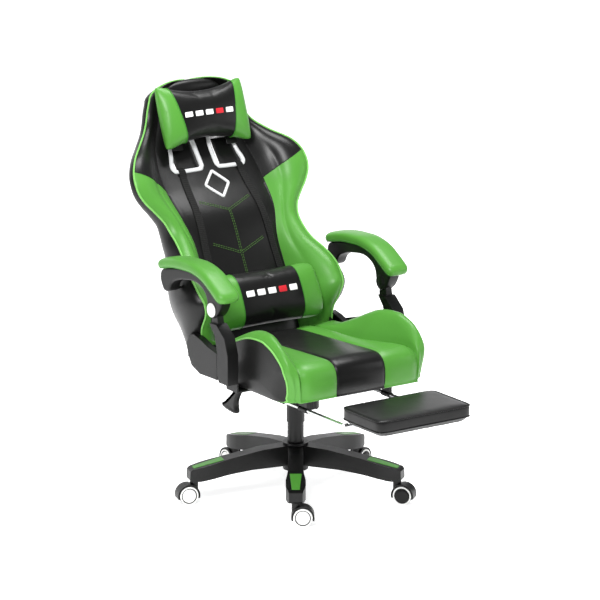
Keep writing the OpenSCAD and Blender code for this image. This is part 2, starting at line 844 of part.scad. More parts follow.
module head_pillow() {
    color(black) on_back() translate([0, 41, 722 * back_stretch]) rotate([6, 0, 0]) pillow(292, 168, 84);
}

// Lumbar pillow: its plan follows the sloping faces of the bolsters
module lumbar_pillow() {
    mid = 112 * back_stretch;
    half = [[140, 15], [150, 8], [183, -60], [197, -84], [186, -98], [120, -102]];
    color(black) on_back() intersection() {
        translate([0, 0, mid - 89]) linear_extrude(178)
            polygon(concat(half, [for (p = reversed(half)) [-p.x, p.y]]));
        translate([0, -44, mid]) rotate([0, 90, 0]) linear_extrude(500, center = true)
            polygon([for (a = [0 : 20 : 340]) [cos(a) * 91, sin(a) * 59]]);
    }
}

// --- Armrests ---

// Underside of the pad, from rear to front, as (y, z) from the beam's front pivot
pad_under = [
    [278, 66], [240, 78], [188, 88], [135, 92], [84, 92], [33, 81], [-8, 60], [-44, 38], [-66, 24]
];

function pad_points(d) = [for (i = [0 : len(pad_under) - 1])
    let (a = pad_under[max(i - 1, 0)], b = pad_under[min(i + 1, len(pad_under) - 1)],
         run = b - a, out = [run.y, -run.x] / norm(run))
    post_high + pad_under[i] + d * out];

module arm_pad(side) {
    color(green) sided(side) across(arm_x - pad_w / 2, arm_x + pad_w / 2)
        polygon(concat(pad_points(soft_gap / 2), reversed(pad_points(pad_t))));
}

module arm_beam(side) {
    h = post_high;
    color(black) sided(side) difference() {
        across(arm_in, arm_in + post_w) union() {
            polygon(concat(pad_points(0), [
                h + [-58, 10], h + [-24, -16], h + [0, -26], h + [22, -12], h + [27, 36],
                h + [52, 55], h + [98, 66], h + [160, 59], h + [200, 48], h + [226, 36],
                h + [240, 12], h + [252, 4], h + [270, 8], h + [288, 40]
            ]));
            translate(h) circle(r = 26);
        }
        // Slot that the post's head turns in
        translate([arm_in + 8 - move_gap, h.x - 36, h.y - 46]) cube([post_w - 16 + 2 * move_gap, 74, 80]);
        cross_pin(pivot_r + run_gap, arm_in - 1, arm_in + post_w + 1, h.x, h.y);
        // Open rear pivot, with clearance
        cross_pin(pivot_r + 1.5, arm_in - 1, arm_x + 9, rear_pivot.x, rear_pivot.y);
    }
}

module arm_post(side) {
    c = post_low;
    h = post_high;
    color(black) sided(side) difference() {
        union() {
            across(arm_in, arm_in + post_w) polygon([
                c + [-38, -30], c + [12, -30], c + [20, -8], c + [20, 60], c + [34, 110], h + [14, -42],
                h + [-24, -40], c + [-20, 110], c + [-38, 60]
            ]);
            // Head that fits the beam's slot
            across(arm_in + 8, arm_in + post_w - 8) union() {
                polygon([h + [-22, -44], h + [14, -46], h + [16, 0], h + [-14, 4]]);
                translate(h) circle(r = 17);
            }
            cross_pin(pivot_r, arm_in + 1, arm_in + post_w - 1, h.x, h.y);
        }
        cross_pin(pivot_r + run_gap, arm_in - 1, arm_in + post_w - 5, c.x, c.y);
    }
}

module pivot_cap(side) {
    color("#d8d8d6") sided(side)
        cross_pin(24, arm_in + post_w, arm_in + post_w + 5, post_high.x, post_high.y);
}

star_base();
base_inserts();
gas_tube();
gas_rod();
mechanism_housing();
column_sleeve();
tilt_pin();
tension_knob();
lever_bush();
height_lever();
mechanism_plate();
seat_bolts();
seat_board();
seat_cushion();
seat_wing(-1);  // seat_wing_right
seat_wing(1);  // seat_wing_left
recliner_base(-1);  // recliner_base_right
recliner_base(1);  // recliner_base_left
recliner_cover(-1);  // recliner_cover_right
recliner_cover(1);  // recliner_cover_left
arm_bracket(-1);  // arm_bracket_right
arm_bracket(1);  // arm_bracket_left
footrest_guides();
recline_lever();
back_frame();
back_shell();
back_pad();
back_bolster(-1);  // back_bolster_right
back_bolster(1);  // back_bolster_left
recliner_arm(-1);  // recliner_arm_right
recliner_arm(1);  // recliner_arm_left
harness_rings();
pillow_straps();
strap_buckles();
head_pillow();
lumbar_pillow();
arm_post(-1);  // arm_post_right
arm_post(1);  // arm_post_left
arm_beam(-1);  // arm_beam_right
arm_beam(1);  // arm_beam_left
arm_pad(-1);  // arm_pad_right
arm_pad(1);  // arm_pad_left
pivot_cap(-1);  // pivot_cap_right
pivot_cap(1);  // pivot_cap_left
footrest_rods();
footrest_axle();
footrest_brackets();
footrest_board();
footrest_pad();
castor_hood(0);  // castor_hood_1
castor_hood(1);  // castor_hood_2
castor_hood(2);  // castor_hood_3
castor_hood(3);  // castor_hood_4
castor_hood(4);  // castor_hood_5
castor_wheels(0);  // castor_wheels_1
castor_wheels(1);  // castor_wheels_2
castor_wheels(2);  // castor_wheels_3
castor_wheels(3);  // castor_wheels_4
castor_wheels(4);  // castor_wheels_5
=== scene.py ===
"""Looks of a reclining gaming chair in black and green coated leather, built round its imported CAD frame.

Sizes are in millimetres and become metres where a mesh is made.
"""
import json
import math

import bmesh
import bpy
import numpy as np
from mathutils import Matrix, Vector


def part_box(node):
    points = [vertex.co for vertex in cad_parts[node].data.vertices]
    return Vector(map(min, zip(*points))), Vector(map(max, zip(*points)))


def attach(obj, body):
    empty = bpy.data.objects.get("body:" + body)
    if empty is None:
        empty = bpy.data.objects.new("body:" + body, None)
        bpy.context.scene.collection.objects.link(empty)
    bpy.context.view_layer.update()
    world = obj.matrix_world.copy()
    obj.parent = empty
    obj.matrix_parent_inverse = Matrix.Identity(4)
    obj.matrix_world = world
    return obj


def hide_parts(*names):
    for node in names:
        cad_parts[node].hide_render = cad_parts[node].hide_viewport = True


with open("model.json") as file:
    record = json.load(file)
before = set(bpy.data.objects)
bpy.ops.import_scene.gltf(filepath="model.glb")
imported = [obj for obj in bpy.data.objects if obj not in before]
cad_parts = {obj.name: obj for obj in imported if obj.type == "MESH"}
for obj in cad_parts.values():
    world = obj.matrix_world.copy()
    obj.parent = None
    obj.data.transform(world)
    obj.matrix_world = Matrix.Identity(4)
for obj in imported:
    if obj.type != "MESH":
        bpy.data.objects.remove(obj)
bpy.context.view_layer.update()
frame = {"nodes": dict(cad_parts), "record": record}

joint_of = {joint["name"]: joint for joint in frame["record"]["behaviour"]["joints"]}


# ---------------------------------------------------------------- Camera
# A long lens stands to the sitter's front right, a little above the armrests.
AZIMUTH, ELEVATION = math.radians(-34.169), math.radians(14.357)
DISTANCE = 10.4469
AIM = Vector((0, 0, 0.607))
SIDE_STEP = 0.0135
away = Vector((
    math.sin(AZIMUTH) * math.cos(ELEVATION), -math.cos(AZIMUTH) * math.cos(ELEVATION), math.sin(ELEVATION)))
across = Vector((math.cos(AZIMUTH), math.sin(AZIMUTH), 0))
upright = away.cross(across)
lens = bpy.data.cameras.new("camera")
lens.lens, lens.sensor_width, lens.clip_end = 208.46, 36, 60
camera = bpy.data.objects.new("camera", lens)
camera.matrix_world = Matrix.Translation(AIM + away * DISTANCE + across * SIDE_STEP) @ Matrix(
    (across, upright, away)).transposed().to_4x4()
bpy.context.scene.collection.objects.link(camera)
bpy.context.scene.camera = camera


# ---------------------------------------------------------------- Studio
# White paper floor that rolls up far behind the chair, under three soft boxes and a pale room.
def linear(code):
    """sRGB hex to linear RGBA: a channel c is c / 12.92 below 0.04045, else ((c + 0.055) / 1.055) ^ 2.4."""
    c = np.array([int(code[i:i + 2], 16) for i in (1, 3, 5)]) / 255
    return (*np.where(c < 0.04045, c / 12.92, ((c + 0.055) / 1.055) ** 2.4), 1.0)


def add(tree, kind, values={}, links={}, **settings):
    """Adds one node with its settings, its input values and the sockets that lead into it."""
    node = tree.nodes.new(kind)
    for key, value in settings.items():
        setattr(node, key, value)
    for key, value in values.items():
        node.inputs[key].default_value = value
    for key, socket in links.items():
        tree.links.new(socket, node.inputs[key])
    return node


def finish_of(name, code, **shader_values):
    """New material with one Principled shader: its tree, shader and Object coordinates."""
    material = bpy.data.materials.new(name)
    material.use_nodes = True
    tree = material.node_tree
    shader = tree.nodes["Principled BSDF"]
    shader.inputs["Base Color"].default_value = linear(code)
    for key, value in shader_values.items():
        shader.inputs[key.replace("_", " ")].default_value = value
    return material, tree, shader, add(tree, "ShaderNodeTexCoord").outputs["Object"]


paper, _, _, _ = finish_of(
    "white_backdrop_paper", "#ffffff", Roughness=0.9, Emission_Color=linear("#ffffff"),
    Emission_Strength=0.72)
sweep = np.array([(-16, 0), (12.2, 0), (13.4, 0.25), (14.2, 1.0), (14.5, 2.2), (14.5, 9)])
floor_mesh = bpy.data.meshes.new("floor")
floor_mesh.from_pydata(
    [(x, y, z) for x in (-16, 16) for y, z in sweep], [],
    [(i, i + 1, i + 7, i + 6) for i in range(5)])
floor_mesh.flip_normals()
floor = bpy.data.objects.new("floor", floor_mesh)
floor.data.materials.append(paper)
floor.data.shade_smooth()
bpy.context.scene.collection.objects.link(floor)

room = bpy.data.worlds.new("room")
room.use_nodes = True
room.node_tree.nodes["Background"].inputs["Color"].default_value = linear("#fbfcff")
room.node_tree.nodes["Background"].inputs["Strength"].default_value = 0.30
bpy.context.scene.world = room
bpy.context.scene.view_settings.view_transform = "Standard"

for name, place, aim, size, power in (
        ("key_box", (-2.6, -2.2, 3.4), (0, 0, 0.7), 1.3, 190),
        ("top_box", (0.6, 0.2, 3.8), (0, 0.1, 0.6), 1.8, 120),
        ("fill_box", (3.2, -2.6, 1.9), (0, 0, 0.6), 1.6, 20)):
    box = bpy.data.lights.new(name, "AREA")
    box.shape, box.size, box.energy = "SQUARE", size, power
    lamp = bpy.data.objects.new(name, box)
    lamp.location = place
    lamp.rotation_euler = (Vector(aim) - Vector(place)).to_track_quat("-Z", "Y").to_euler()
    bpy.context.scene.collection.objects.link(lamp)


# ---------------------------------------------------------------- Star base
# Five-spoke foot moulded in glass-filled nylon: black, with a fine spark-eroded grain that leaves a satin
# sheen. Each spoke's sloping top takes a green ABS cover that snaps into a shallow pocket.
def moulded(name, code, grain, rough, depth):
    """Moulded plastic: a fine even grain of the given size in mm, and roughness that drifts a little."""
    material, tree, shader, place = finish_of(name, code, Roughness=rough, Specular_IOR_Level=0.3)
    fine = add(tree, "ShaderNodeTexNoise", {"Scale": 1000 / grain, "Detail": 2.0}, {"Vector": place})
    drift = add(tree, "ShaderNodeTexNoise", {"Scale": 14.0, "Detail": 3.0}, {"Vector": place})
    span = add(tree, "ShaderNodeMapRange", {"To Min": rough - 0.05, "To Max": rough + 0.08},
               {"Value": drift.outputs["Fac"]})
    tree.links.new(span.outputs["Result"], shader.inputs["Roughness"])
    shade = add(tree, "ShaderNodeMapRange", {"To Min": 0.85, "To Max": 1.15}, {"Value": fine.outputs["Fac"]})
    tint = add(tree, "ShaderNodeMix", {0: 1.0, 6: linear(code)}, {7: shade.outputs["Result"]},
               data_type="RGBA", blend_type="MULTIPLY")
    tree.links.new(tint.outputs[2], shader.inputs["Base Color"])
    bump = add(tree, "ShaderNodeBump", {"Strength": 0.5, "Distance": depth},
               {"Height": fine.outputs["Fac"]})
    tree.links.new(bump.outputs["Normal"], shader.inputs["Normal"])
    return material


# Real grain is about 0.3 mm; it is drawn at 1.5 mm, or it wouldn't show.
black_nylon = moulded("glass_filled_nylon_moulded", "#080808", 1.5, 0.38, 0.0002)
green_abs = moulded("green_abs_moulded", "#4f9636", 1.5, 0.35, 0.0001)


def placed(name, mesh, body, materials, replaces=()):
    """Links a mesh as a piece that rides on a body, with its materials and the CAD nodes it stands for."""
    piece = bpy.data.objects.new(name, mesh)
    for material in materials:
        piece.data.materials.append(material)
    bpy.context.scene.collection.objects.link(piece)
    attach(piece, body)
    if replaces:
        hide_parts(*replaces)
    return piece


def rounded_copy(node, radius, body, material, name=None, turn=35):
    """Copy of a CAD node's mesh: doubles merged, flat neighbours joined, edges sharper than turn rounded."""
    name = name or node + "_look"
    source = bmesh.new()
    source.from_mesh(frame["nodes"][node].data)
    bmesh.ops.remove_doubles(source, verts=source.verts, dist=2e-5)
    bmesh.ops.dissolve_limit(source, angle_limit=math.radians(0.8), verts=source.verts, edges=source.edges)
    index = {vertex: i for i, vertex in enumerate(source.verts)}
    mesh = bpy.data.meshes.new(name)
    mesh.from_pydata([v.co[:] for v in source.verts], [], [[index[v] for v in f.verts] for f in source.faces])
    source.free()
    mesh.shade_smooth()
    mesh.set_sharp_from_angle(angle=math.radians(turn))
    piece = placed(name, mesh, body, [material], (node,))
    bevel = piece.modifiers.new("rounding", "BEVEL")
    bevel.width, bevel.segments, bevel.limit_method = radius / 1000, 2, "ANGLE"
    bevel.angle_limit, bevel.harden_normals = math.radians(turn), True
    return piece


rounded_copy("star_base", 3.0, "base", black_nylon)
rounded_copy("base_inserts", 0.8, "base", green_abs)


# ---------------------------------------------------------------- Castors
# Twin-wheel castors: a black nylon hood, and two wheels, each with a dark tread, a white rim ring, a dark
# gap and a pressed-in hub disc: white on three castors, and painted black on two as a painted reflection of
# dark surroundings in the shiny cap.
white_abs = moulded("white_abs_moulded", "#f1f1ef", 2.0, 0.3, 0.00005)
tread = moulded("grey_polyurethane_tread", "#2a2a29", 2.0, 0.55, 0.0001)


def skin(name, rows, ends=True, ring=True):
    """Mesh over a grid of points in mm: row i joins row i + 1, a row closes on itself if ring is true, and
    with ends each end row closes on its own middle. Faces turn outwards by the sign of the volume."""
    rows = np.asarray(rows, float)
    n, m = rows.shape[:2]
    points = rows.reshape(-1, 3)
    i, j = np.meshgrid(np.arange(n - 1), np.arange(m if ring else m - 1), indexing="ij")
    a, b = i * m + j, i * m + (j + 1) % m
    quads = np.stack([a, b, b + m, a + m], -1).reshape(-1, 4)
    tris = np.zeros((0, 3), int)
    if ends:
        points = np.vstack([points, rows[0].mean(0), rows[-1].mean(0)])
        j = np.arange(m)
        tris = np.vstack([
            np.stack([np.full(m, n * m), (j + 1) % m, j], -1),
            np.stack([np.full(m, n * m + 1), (n - 1) * m + j, (n - 1) * m + (j + 1) % m], -1)])
        flat = np.vstack([quads[:, [0, 1, 2]], quads[:, [0, 2, 3]], tris])
        p = points[flat]
        if np.einsum("ij,ij->i", p[:, 0], np.cross(p[:, 1], p[:, 2])).sum() < 0:
            quads, tris = quads[:, ::-1], tris[:, ::-1]
    mesh = bpy.data.meshes.new(name)
    mesh.from_pydata((points / 1000).tolist(), [], quads.tolist() + tris.tolist())
    mesh.shade_smooth()
    return mesh


def turned(name, profile, middle, axis, steps=56):
    """Surface of revolution: (radius, along) pairs in mm, turned about the axis through middle."""
    profile = np.asarray(profile, float)
    axis = np.asarray(axis, float) / np.linalg.norm(axis)
    side = np.cross(axis, (0, 0, 1.0) if abs(axis[2]) < 0.9 else (1.0, 0, 0))
    side /= np.linalg.norm(side)
    other = np.cross(axis, side)
    angle = np.linspace(0, 2 * np.pi, steps, endpoint=False)
    spin = np.cos(angle)[:, None] * side + np.sin(angle)[:, None] * other
    rows = np.asarray(middle) + profile[:, None, :1] * spin + profile[:, None, 1:] * axis
    return skin(name, rows)


def paint_rows(mesh, steps, kinds):
    """Gives the faces between row i and row i + 1 the material number kinds[i]; the ends take the nearest."""
    numbers = np.concatenate([np.repeat(kinds, steps), np.full(steps, kinds[0]), np.full(steps, kinds[-1])])
    mesh.polygons.foreach_set("material_index", numbers.astype(np.int32))


WHEEL = np.array([
    (4.2, 1.9), (26.2, 1.9), (28.0, 2.6), (29.0, 4.2), (29.0, 18.6), (28.6, 20.0), (28.0, 20.9), (27.0, 21.5),
    (24.6, 21.5), (24.0, 20.9), (23.7, 18.4), (20.8, 18.4), (20.5, 20.6), (19.6, 21.3), (12.0, 21.8),
    (4.0, 21.9)])
WHEEL_KINDS = np.array([0, 0, 0, 0, 0, 1, 1, 1, 1, 0, 0, 2, 2, 2, 2])
WHEEL_STEPS = 56
for k in range(1, 6):
    rounded_copy(f"castor_hood_{k}", 1.6, f"castor_{k}", black_nylon, turn=40)
    low, high = (np.array(corner) * 1000 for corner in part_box(f"castor_wheels_{k}"))
    axle = joint_of[f"wheels_{k}_roll"]["axis"]
    # Hub disc: white, but painted black on castors 2 and 3 as a painted dark reflection in the shiny cap.
    disc = black_nylon if k in (2, 3) else white_abs
    for side, label in ((1, "a"), (-1, "b")):
        mesh = turned(f"castor_{k}_wheel_{label}", WHEEL * (1, side), (low + high) / 2, axle, WHEEL_STEPS)
        paint_rows(mesh, WHEEL_STEPS, WHEEL_KINDS)
        placed(mesh.name, mesh, f"wheels_{k}", [tread, white_abs, disc],
               (f"castor_wheels_{k}",))


# ---------------------------------------------------------------- Gas lift and tilt mechanism
# Black powder-coated steel tube with a plated piston rod, under a pressed steel tilt housing; a sleeve in
# the same powder coat hides the rod, and a knob under the front sets the tilt spring.
powder_coat = moulded("steel_powder_coated", "#0a0a0a", 1.2, 0.38, 0.0001)


def plated(name, code, rough):
    """Bright metal: a plain metallic shader with faint drift in its roughness."""
    material, tree, shader, place = finish_of(name, code, Roughness=rough, Metallic=1.0)
    drift = add(tree, "ShaderNodeTexNoise", {"Scale": 30.0, "Detail": 2.0}, {"Vector": place})
    span = add(tree, "ShaderNodeMapRange", {"To Min": rough * 0.8, "To Max": rough * 1.4},
               {"Value": drift.outputs["Fac"]})
    tree.links.new(span.outputs["Result"], shader.inputs["Roughness"])
    return material


chrome = plated("steel_nickel_plated", "#e6e7e8", 0.24)
dust_cloth = moulded("black_non_woven_cloth", "#0d0d0d", 1.5, 0.8, 0.0001)
for nodes, material in (
        (("gas_tube", "column_sleeve", "mechanism_plate", "recliner_base_right", "recliner_base_left",
          "recliner_arm_right", "recliner_arm_left", "back_frame"), powder_coat),
        (("gas_rod", "tilt_pin", "seat_bolts", "footrest_rods", "footrest_axle"), chrome),
        (("lever_bush", "footrest_guides"), black_nylon),
        (("seat_board", "footrest_board"), dust_cloth)):
    for node in nodes:
        surface = frame["nodes"][node].data
        surface.materials.clear()
        surface.materials.append(material)
rounded_copy("mechanism_housing", 2.0, "mechanism", powder_coat)
rounded_copy("tension_knob", 2.0, "knob", black_nylon)


# ---------------------------------------------------------------- Height lever
# Steel bar in the seat's side with a black nylon paddle moulded on its end, pinched at the neck.
def tidied(mesh, merge=False, fill=False):
    """Merges doubled points and fills holes where asked, and turns every face outwards."""
    work = bmesh.new()
    work.from_mesh(mesh)
    if merge:
        bmesh.ops.remove_doubles(work, verts=work.verts, dist=1e-6)
    if fill:
        bmesh.ops.holes_fill(work, edges=work.edges)
    bmesh.ops.recalc_face_normals(work, faces=work.faces)
    work.to_mesh(mesh)
    work.free()


def through(points, at):
    """Smooth curve through (place, value) pairs: a cubic between each pair, with the slope at a pair taken
    from its neighbours."""
    p = np.asarray(points, float)
    x, y = p[:, 0], p[:, 1]
    slope = np.gradient(y, x)
    at = np.clip(at, x[0], x[-1])
    i = np.clip(np.searchsorted(x, at, side="right") - 1, 0, len(x) - 2)
    h = x[i + 1] - x[i]
    f = (at - x[i]) / h
    return ((1 + 2 * f) * (1 - f) ** 2 * y[i] + f * (1 - f) ** 2 * h * slope[i]
            + f * f * (3 - 2 * f) * y[i + 1] + f * f * (f - 1) * h * slope[i + 1])


def signed_power(value, power):
    """sign(v) |v| ^ power, which squares a circle's sine and cosine off when power is below 1."""
    return np.sign(value) * np.abs(value) ** power


def closed_curve(points, count):
    """count points on a smooth closed curve through the given ones, by Catmull-Rom: each point's tangent is
    half the step between its neighbours."""
    p = np.asarray(points, float)
    u = np.linspace(0, len(p), count, endpoint=False)
    i = u.astype(int)
    f = (u - i)[:, None]
    a, b, c, d = (p[(i + k) % len(p)] for k in (-1, 0, 1, 2))
    return 0.5 * (2 * b + (c - a) * f + (2 * a - 5 * b + 4 * c - d) * f ** 2 + (3 * b - a - 3 * c + d) * f ** 3)


def slab(name, outline, x0, x1, radius, count=120):
    """Plate between x0 and x1 with a smooth (y, z) outline. Its edges are quarter rounds: the outline is
    drawn in along its own normal by radius * (1 - sin a) while x moves by radius * (1 - cos a)."""
    ring = closed_curve(outline, count)
    run = np.roll(ring, -1, 0) - np.roll(ring, 1, 0)
    normal = np.stack([run[:, 1], -run[:, 0]], -1) / np.linalg.norm(run, axis=1)[:, None]
    area = (ring[:, 0] * np.roll(ring[:, 1], -1) - np.roll(ring[:, 0], -1) * ring[:, 1]).sum()
    normal *= np.sign(area)
    a = np.linspace(0, np.pi / 2, 5)
    inset = np.concatenate([[radius + 4], radius * (1 - np.sin(a)), radius * (1 - np.sin(a[::-1])),
                            [radius + 4]])
    place = np.concatenate([[x0], x0 + radius * (1 - np.cos(a)), x1 - radius * (1 - np.cos(a[::-1])), [x1]])
    flat = ring[None] - normal[None] * inset[:, None, None]
    rows = np.concatenate([np.broadcast_to(place[:, None, None], (*flat.shape[:2], 1)), flat], -1)
    mesh = skin(name, rows, ends=False)
    n, m = rows.shape[:2]
    faces = [list(f.vertices) for f in mesh.polygons]
    turn = np.sign(area) > 0
    caps = [list(range(m))[::-1 if turn else 1], list(range((n - 1) * m, n * m))[::1 if turn else -1]]
    whole = bpy.data.meshes.new(name)
    whole.from_pydata([v.co[:] for v in mesh.vertices], [], faces + caps)
    bpy.data.meshes.remove(mesh)
    tidied(whole)
    whole.shade_smooth()
    whole.set_sharp_from_angle(angle=math.radians(50))
    return whole


def tube(name, path, radius, upright, closed=False, sides=8):
    """Round tube: at each path point a ring of the radius, in the plane of two directions square to the
    path, the first of them square to upright as well."""
    path = np.asarray(path, float)
    run = np.roll(path, -1, 0) - np.roll(path, 1, 0) if closed else np.gradient(path, axis=0)
    run /= np.linalg.norm(run, axis=1)[:, None]
    side = np.cross(run, np.asarray(upright, float))
    side /= np.linalg.norm(side, axis=1)[:, None]
    other = np.cross(side, run)
    angle = np.linspace(0, 2 * np.pi, sides, endpoint=False)
    radius = np.broadcast_to(radius, len(path))[:, None, None]
    rows = path[:, None] + radius * (
        np.cos(angle)[None, :, None] * side[:, None] + np.sin(angle)[None, :, None] * other[:, None])
    if closed:
        rows = np.concatenate([rows, rows[:1]])
    mesh = skin(name, rows, ends=not closed)
    if closed:
        tidied(mesh, merge=True)
    return mesh


LEVER_Y, LEVER_Z = 15, 366
PADDLE = np.array([
    (-20, 371), (8, 373), (20, 352), (44, 326), (66, 311), (80, 303), (77, 293), (50, 286), (18, 283),
    (5, 288), (8, 311), (3, 331), (-10, 353)])
paddle = slab("lever_paddle", PADDLE, -216, -196, 6)
placed("lever_paddle", paddle, "lever", [black_nylon], ("height_lever",))
bar = tube("lever_bar", [(x, LEVER_Y, LEVER_Z) for x in (-200, -150, -100, -54)], 4.5, (0, 0, 1), sides=16)
placed("lever_bar", bar, "lever", [black_nylon])


# ---------------------------------------------------------------- Seat
# Moulded foam in sewn panels of polyurethane-coated leather: black down the middle, green either side and
# over the wings, black on the puffed side panels. A green piping is sewn into the edge of each wing.
def coated_leather(name, code, light, rough, sheen=0.02):
    """PU-coated leather: small embossed pebbles, broad soft waves where foam gives under the cover, colour
    that drifts between two shades, and a satin coat. Real pebbles are about 1 mm; they are drawn at 4 mm."""
    material, tree, shader, place = finish_of(
        name, code, Roughness=rough, Sheen_Weight=sheen, Sheen_Roughness=0.5, Specular_IOR_Level=0.28)
    pebble = add(tree, "ShaderNodeTexVoronoi", {"Scale": 250.0}, {"Vector": place}, feature="SMOOTH_F1")
    wave = add(tree, "ShaderNodeTexNoise", {"Scale": 9.0, "Detail": 2.0, "Roughness": 0.45},
               {"Vector": place})
    drift = add(tree, "ShaderNodeTexNoise", {"Scale": 5.0, "Detail": 4.0}, {"Vector": place})
    tint = add(tree, "ShaderNodeMix", {6: linear(code), 7: linear(light)}, {0: drift.outputs["Fac"]},
               data_type="RGBA")
    tree.links.new(tint.outputs[2], shader.inputs["Base Color"])
    span = add(tree, "ShaderNodeMapRange", {"To Min": rough - 0.05, "To Max": rough + 0.07},
               {"Value": drift.outputs["Fac"]})
    tree.links.new(span.outputs["Result"], shader.inputs["Roughness"])
    waves = add(tree, "ShaderNodeBump", {"Strength": 0.5, "Distance": 0.004}, {"Height": wave.outputs["Fac"]})
    grain = add(tree, "ShaderNodeBump", {"Strength": 0.25, "Distance": 0.0003},
                {"Height": pebble.outputs["Distance"], "Normal": waves.outputs["Normal"]})
    tree.links.new(grain.outputs["Normal"], shader.inputs["Normal"])
    return material


BLACKS, GREENS = ("#060606", "#0c0c0b"), ("#45842d", "#508f36")
black_leather = coated_leather("black_coated_leather", *BLACKS, 0.33)
green_leather = coated_leather("green_coated_leather", *GREENS, 0.36)
piping_green = coated_leather("light_green_piping", "#6bae50", "#76b75b", 0.45)
seam_dark = coated_leather("black_seam_cord", "#050505", "#090909", 0.6)
seam_green = coated_leather("green_seam_cord", "#33761f", "#3b8226", 0.55)

# Side outline of the middle cushion and of a wing's crest, point for point, as (y, z) from the rear of the
# underside, forward, up the front and back over the top
CUSHION_SIDE = np.array([
    (139, 406), (0, 402), (-180, 397), (-326, 395), (-343, 408), (-347, 438), (-344, 466), (-333, 487),
    (-311, 500), (-280, 503), (-200, 499), (-91, 493), (16, 488), (100, 482), (139, 466)])
WING_SIDE = np.array([
    (139, 394), (0, 393), (-180, 393), (-309, 394), (-322, 410), (-329, 441), (-330, 476), (-316, 517),
    (-278, 552), (-238, 571), (-198, 580), (-120, 571), (-16, 526), (62, 492), (139, 476)])
SEAT_RING = 120
STRIPE, CUSHION_HALF, WING_IN, CREST, SEAT_HALF = 86, 150, 151.5, 221, 255


def seat_ring(w):
    """Closed side outline of the seat cover, as far as w from the cushion's towards the wing's."""
    return closed_curve(CUSHION_SIDE * (1 - w) + WING_SIDE * w, SEAT_RING)


key_place = np.linspace(0, len(CUSHION_SIDE), SEAT_RING, endpoint=False)
on_top = np.clip((key_place - 3.2) / 1.2, 0, 1) * np.clip((14.6 - key_place) / 1.0, 0, 1)
on_front = np.exp(-((key_place - 5.6) / 1.1) ** 2)


def ring_normal(ring):
    """Outward direction at each point of a closed (y, z) ring."""
    run = np.roll(ring, -1, 0) - np.roll(ring, 1, 0)
    area = (ring[:, 0] * np.roll(ring[:, 1], -1) - np.roll(ring[:, 0], -1) * ring[:, 1]).sum()
    return np.sign(area) * np.stack([run[:, 1], -run[:, 0]], -1) / np.linalg.norm(run, axis=1)[:, None]


# Cushion: each panel crowns by 3 to 5 mm and dips at its seams
def cushion_rise(x):
    """Height over the plain outline: a parabola in each panel, less a narrow dip at each seam."""
    x = np.abs(x)
    middle = 5 * (1 - (x / STRIPE) ** 2)
    side = 3.5 * (1 - ((x - 118) / 32) ** 2)
    return (np.where(x < STRIPE, middle, side) - 3.0 * np.exp(-((x - STRIPE) / 3.5) ** 2)
            - 9 * np.exp(-((CUSHION_HALF - x) / 8) ** 2))


def seat_plan(points):
    """Seen from above, the flat cushion widens and the corners round off towards the front: the valley goes
    from 150 to 208 mm by a smooth step, and the rim from 255 mm in by a square law, most of all low down;
    x stretches between."""
    x, y, z = points[..., 0], points[..., 1], points[..., 2]
    f = np.clip((-120 - y) / 190, 0, 1)
    valley = CUSHION_HALF + 58 * f * f * (3 - 2 * f)
    low_down = np.clip((490 - z) / 90, 0, 1)
    rim = SEAT_HALF - (6 + 36 * low_down) * np.clip((-262 - y) / 70, 0, 1) ** 2
    far = np.abs(x)
    inner = STRIPE + (far - STRIPE) * (valley - STRIPE) / (CUSHION_HALF - STRIPE)
    outer = valley + 1.5 + (far - WING_IN) * (rim - valley - 1.5) / (SEAT_HALF - WING_IN)
    warped = np.where(far <= STRIPE, far, np.where(far <= CUSHION_HALF, inner, outer))
    return np.concatenate([(np.sign(x) * warped)[..., None], points[..., 1:]], -1)


half_places = np.concatenate([
    np.linspace(0, 78, 9), [82, 84.5, STRIPE, 87.5, 90], np.linspace(95, 140, 8), [144, 147, 149, 150]])
places = np.concatenate([-half_places[:0:-1], half_places])
flat = seat_ring(0)
normal = ring_normal(flat)
rings = flat[None] + normal[None] * (cushion_rise(places)[:, None] * on_top[None])[..., None]
rows = np.concatenate([np.broadcast_to(places[:, None, None], (*rings.shape[:2], 1)), rings], -1)
shrink = np.array([0.97, 0.8, 0.4])
middle = rows[0].mean(0)
lid = [middle + (rows[0] - middle) * (1, f, f) for f in shrink]
rows = np.concatenate([lid[::-1], rows, [row * (-1, 1, 1) for row in lid]])
cushion = skin("seat_cushion_cover", seat_plan(rows))
kinds = (np.abs((rows[:-1, 0, 0] + rows[1:, 0, 0]) / 2) > STRIPE).astype(int)
paint_rows(cushion, SEAT_RING, kinds)
seat_cushion = placed(cushion.name, cushion, "seat", [black_leather, green_leather],
                      ("seat_cushion",))
for side, label in ((-1, "right"), (1, "left")):
    line = flat + normal * (cushion_rise(np.array(STRIPE)) + 0.4)
    line = line[(key_place > 3.3) & (key_place < 14)]
    path = np.column_stack([np.full(len(line), side * STRIPE), line])
    cord = tube(f"stripe_seam_{label}", path, 0.9, (1, 0, 0))
    placed(cord.name, cord, "seat", [seam_dark])

